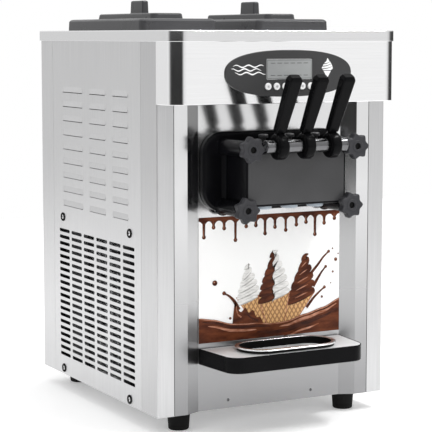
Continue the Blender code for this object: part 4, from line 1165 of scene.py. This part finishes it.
def rounds(profile, closed=False):
    return loft([flat(stadium(gap), height) for gap, height in profile], closed=closed)


def make_shelf():
    (_, rear_half), (front, rear), (bottom, top) = spans("drip_shelf")
    front_half, corner, lip = 0.1575, 0.032, top - 0.0004
    right = bent([(rear_half, rear), (front_half, front), (0, front)], corner, 20)[:-1]
    outline = [(-x, depth) for x, depth in right] + right[::-1]
    rim = (
        (0.006, bottom + 0.003), (0.006, lip - 0.0016), (0.0022, lip - 0.0016), (0.0022, lip), (0.0010, top),
        (0.0004, lip - 0.0002), (0.0, lip - 0.0012), (0.0, bottom + 0.0022), (0.0006, bottom + 0.0008),
        (0.0020, bottom),
    )
    finished("shelf_rim", stepped(flat, outline, rim), BLACK, "drip_shelf", angle=35)
    plate = stepped(flat, outline, ((0.0025, top - 0.0017), (0.0025, top - 0.0007), (0.0028, top - 0.0004)))
    plate = finished("shelf_top_plate", plate, PLATE_STEEL, "shelf_plate")
    cut(plate, prism(flat, stadium(0.0105), (0.11, 0.15)))


def make_tray():
    shelf_top = spans("drip_shelf")[2][1]
    floor, top = spans(TRAY)[2]
    pan = (
        (0.0170, floor + 0.0015), (0.0135, floor + 0.0030), (0.0125, floor + 0.008), (0.0106, top - 0.0028),
        (0.0100, top - 0.0010), (0.0088, top - 0.0002), (0.0065, top), (0.0028, top - 0.0002),
        (0.0009, top - 0.0009), (0.0001, top - 0.0020), (0.0004, top - 0.0030), (0.0016, top - 0.0034),
        (0.0062, top - 0.0036), (0.0070, top - 0.0042), (0.0070, shelf_top), (0.0110, shelf_top - 0.0001),
        (0.0140, floor + 0.007), (0.0170, floor + 0.0006), (0.0182, floor),
    )
    finished("drip_tray_pan", rounds(pan), RIM_STEEL, TRAY, TRAY, angle=40)
    # A near-black sheet over the pan's inner wall and floor: painted shade for the dark well of the steel
    # pan.
    well_shade_sheet = (
        (0.0172, floor + 0.0017), (0.0137, floor + 0.0032), (0.0129, floor + 0.008), (0.0112, top - 0.0028),
        (0.0105, top - 0.0008), (0.0102, top - 0.0009), (0.0108, top - 0.0030), (0.0125, floor + 0.0078),
        (0.0134, floor + 0.0028), (0.0172, floor + 0.0013),
    )
    finished("drip_tray_well_painted_shade", rounds(well_shade_sheet), KNOB_CORE, body=TRAY, angle=40)
    grid = prism(flat, stadium(0.0185), (floor + 0.0030, floor + 0.0042))
    grid = finished("drip_tray_grid", grid, KNOB_CORE, body=TRAY, angle=40)
    holes = bmesh.new()
    for column in range(-7, 8):
        reach = 0.030 if abs(column) < 5 else 0.020
        slot = moved(rounded_rect(0.0048, 2 * reach, 0.0023, 4), column * 0.0115, middles(TRAY)[1])
        prism(flat, slot, (floor - CUT, floor + 2 * CUT), holes)
    cut(grid, holes)
    foot = shelf_top - 0.0003
    seal = ((0.0074, foot), (0.0074, top - 0.0046), (0.0060, top - 0.0046), (0.0052, foot))
    finished("drip_tray_seal", rounds(seal, closed=True), RUBBER, body=TRAY, angle=40)


# ---- behind the vents ----

def make_condenser():
    """Fins and upright tubes in a black shroud behind the left vents, and foam behind the right ones."""
    (left, right), depths, (bottom, top) = spans("condenser")
    front, rear = depths[0] + 0.035, depths[1] - 0.105
    fin_count, waves, tube_count = 76, 24, 6
    fins, tubes, shroud = bmesh.new(), bmesh.new(), bmesh.new()
    for i in range(fin_count):
        height = bottom + 0.008 + (top - bottom - 0.016) * i / (fin_count - 1)
        points = [(front + (rear - front) * j / waves, height + 0.0012 * (-1) ** j) for j in range(waves + 1)]
        prism(sideways, points + moved(points[::-1], 0, -0.0005), (left + 0.004, right - 0.004), fins)
    finished("condenser_fins", fins, FINS, "condenser")
    for column in range(tube_count):
        depth = front + (rear - front) * (column + 0.5) / tube_count
        turned(flat, left + 0.012, depth, ((0.004, bottom + 0.004), (0.004, top - 0.004)), 20, tubes)
    finished("condenser_tubes", tubes, CHROME)
    crate((left + 0.002, right), (depths[0], front - 0.002), (bottom, top), shroud)
    crate((left + 0.002, right), (rear + 0.002, depths[1]), (bottom, top), shroud)
    crate((right - 0.003, right - 0.0005), (front - 0.004, rear + 0.004), (bottom, top), shroud)
    inner = SIDE_SHEET - SHEET
    foam = crate((inner - 0.0050, inner - 0.0012), (0.100, 0.510), (0.040, 0.350))
    finished("vent_filter_foam", foam, RUBBER, bevel=0.001)
    finished("condenser_shroud", shroud, PAINT, bevel=0.001)


# ---- camera, floor and light ----

CAMERA_AZIMUTH = math.radians(-28.149)
CAMERA_ELEVATION = math.radians(5.738)
CAMERA_PLACE = at(-1.6372, -2.8047, 0.7676)
FOCAL_SHARE = 3.6518            # focal length over sensor width
SHIFT_Y = -0.05


def aim(thing, place, ahead):
    thing.location = place
    thing.rotation_euler = ahead.to_track_quat("-Z", "Y").to_euler()


def make_camera():
    data = bpy.data.cameras.new("camera")
    data.sensor_width = 36.0
    data.lens = FOCAL_SHARE * data.sensor_width
    data.shift_y = SHIFT_Y
    data.clip_end = 60.0
    camera = shown("camera", data)
    level = math.cos(CAMERA_ELEVATION)
    ahead = (-math.sin(CAMERA_AZIMUTH) * level, math.cos(CAMERA_AZIMUTH) * level, -math.sin(CAMERA_ELEVATION))
    aim(camera, CAMERA_PLACE, Vector(ahead))
    bpy.context.scene.camera = camera


def make_floor():
    bm = bmesh.new()
    bmesh.ops.create_grid(bm, x_segments=1, y_segments=1, size=3.5)
    mesh = bpy.data.meshes.new("floor")
    bm.to_mesh(mesh)
    bm.free()
    tree = material("floor_white", (0.93, 0.93, 0.93), 0.0, 0.75)
    tones = ((0.3, (0.92, 0.92, 0.92)), (0.7, (0.94, 0.94, 0.94)))
    tree.surface(base_color=tree.ramp(tree.noise(4.0), tones), emission_color=(1.0, 1.0, 1.0, 1.0),
                 emission_strength=0.22)
    mesh.materials.append(tree.owner)
    shown("floor", mesh)


# brightness round the room, as shares of a turn from behind the machine's left
STUDIO = (
    (0.000, 0.92), (0.025, 0.70), (0.055, 0.06), (0.086, 0.02), (0.232, 0.02), (0.262, 0.80), (0.316, 0.93),
    (0.395, 0.93), (0.435, 0.75), (0.465, 0.30), (0.490, 0.05), (0.600, 0.05), (0.660, 0.45), (0.760, 0.72),
    (0.820, 0.80),
)


def make_studio():
    """A round studio of pale panels and dark gaps. What the lens sees directly is plain white."""
    world = bpy.data.worlds.new("studio")
    bpy.context.scene.world = world
    tree = Tree(world)
    tree.nodes.clear()
    split = tree.add("ShaderNodeSeparateXYZ", {"Vector": tree.place("Generated")}).outputs
    turn = tree.add("ShaderNodeMath", {0: split["Y"], 1: split["X"]}, operation="ARCTAN2").outputs["Value"]
    share = tree.spread(turn, -math.pi, math.pi, 0.0, 1.0)
    panels = tree.ramp(share, [(position, (value,) * 3) for position, value in STUDIO])
    rise = tree.spread(split["Z"], 0.0, 0.28, 0.0, 1.0)
    roof = tree.add("ShaderNodeMix", data_type="RGBA")
    tree.feed(roof, {"Factor": rise, "A": panels, "B": (0.98, 0.98, 0.98, 1.0)})
    lit = tree.add("ShaderNodeBackground", {"Color": roof.outputs["Result"], "Strength": 1.0}).outputs[0]
    plain = tree.add("ShaderNodeBackground", {"Color": (1.0, 1.0, 1.0, 1.0)}).outputs[0]
    direct = tree.add("ShaderNodeLightPath").outputs["Is Camera Ray"]
    mixed = tree.add("ShaderNodeMixShader", {"Fac": direct, 1: lit, 2: plain}).outputs[0]
    tree.add("ShaderNodeOutputWorld", {"Surface": mixed})


def add_light(name, place, target, size, power):
    data = bpy.data.lights.new(name, "AREA")
    data.shape = "RECTANGLE"
    data.size, data.size_y = size
    data.energy = power
    aim(shown(name, data), place, Vector(target) - Vector(place))


def make_lights():
    add_light("strip_over_front", (0.94, -0.94, 2.30), (0, -0.30, 0.60), (1.3, 0.07), 24)
    add_light("soft_top", (0.2, -0.4, 3.2), (0, 0, 0.4), (2.6, 2.6), 26)


bpy.context.scene.view_settings.view_transform = "Standard"
make_camera()
make_floor()
make_studio()
make_lights()
dress_cad_nodes()
for make in (
        make_side_panels, make_rear_panel, make_seams, make_screws, make_feet, make_head, make_cap,
        make_hoppers, make_lids, make_controls, make_poster, make_valve_block, make_barrels, make_nozzles,
        make_plungers, make_levers, make_star_knobs, make_shelf, make_tray, make_condenser):
    make()

bpy.context.view_layer.update()
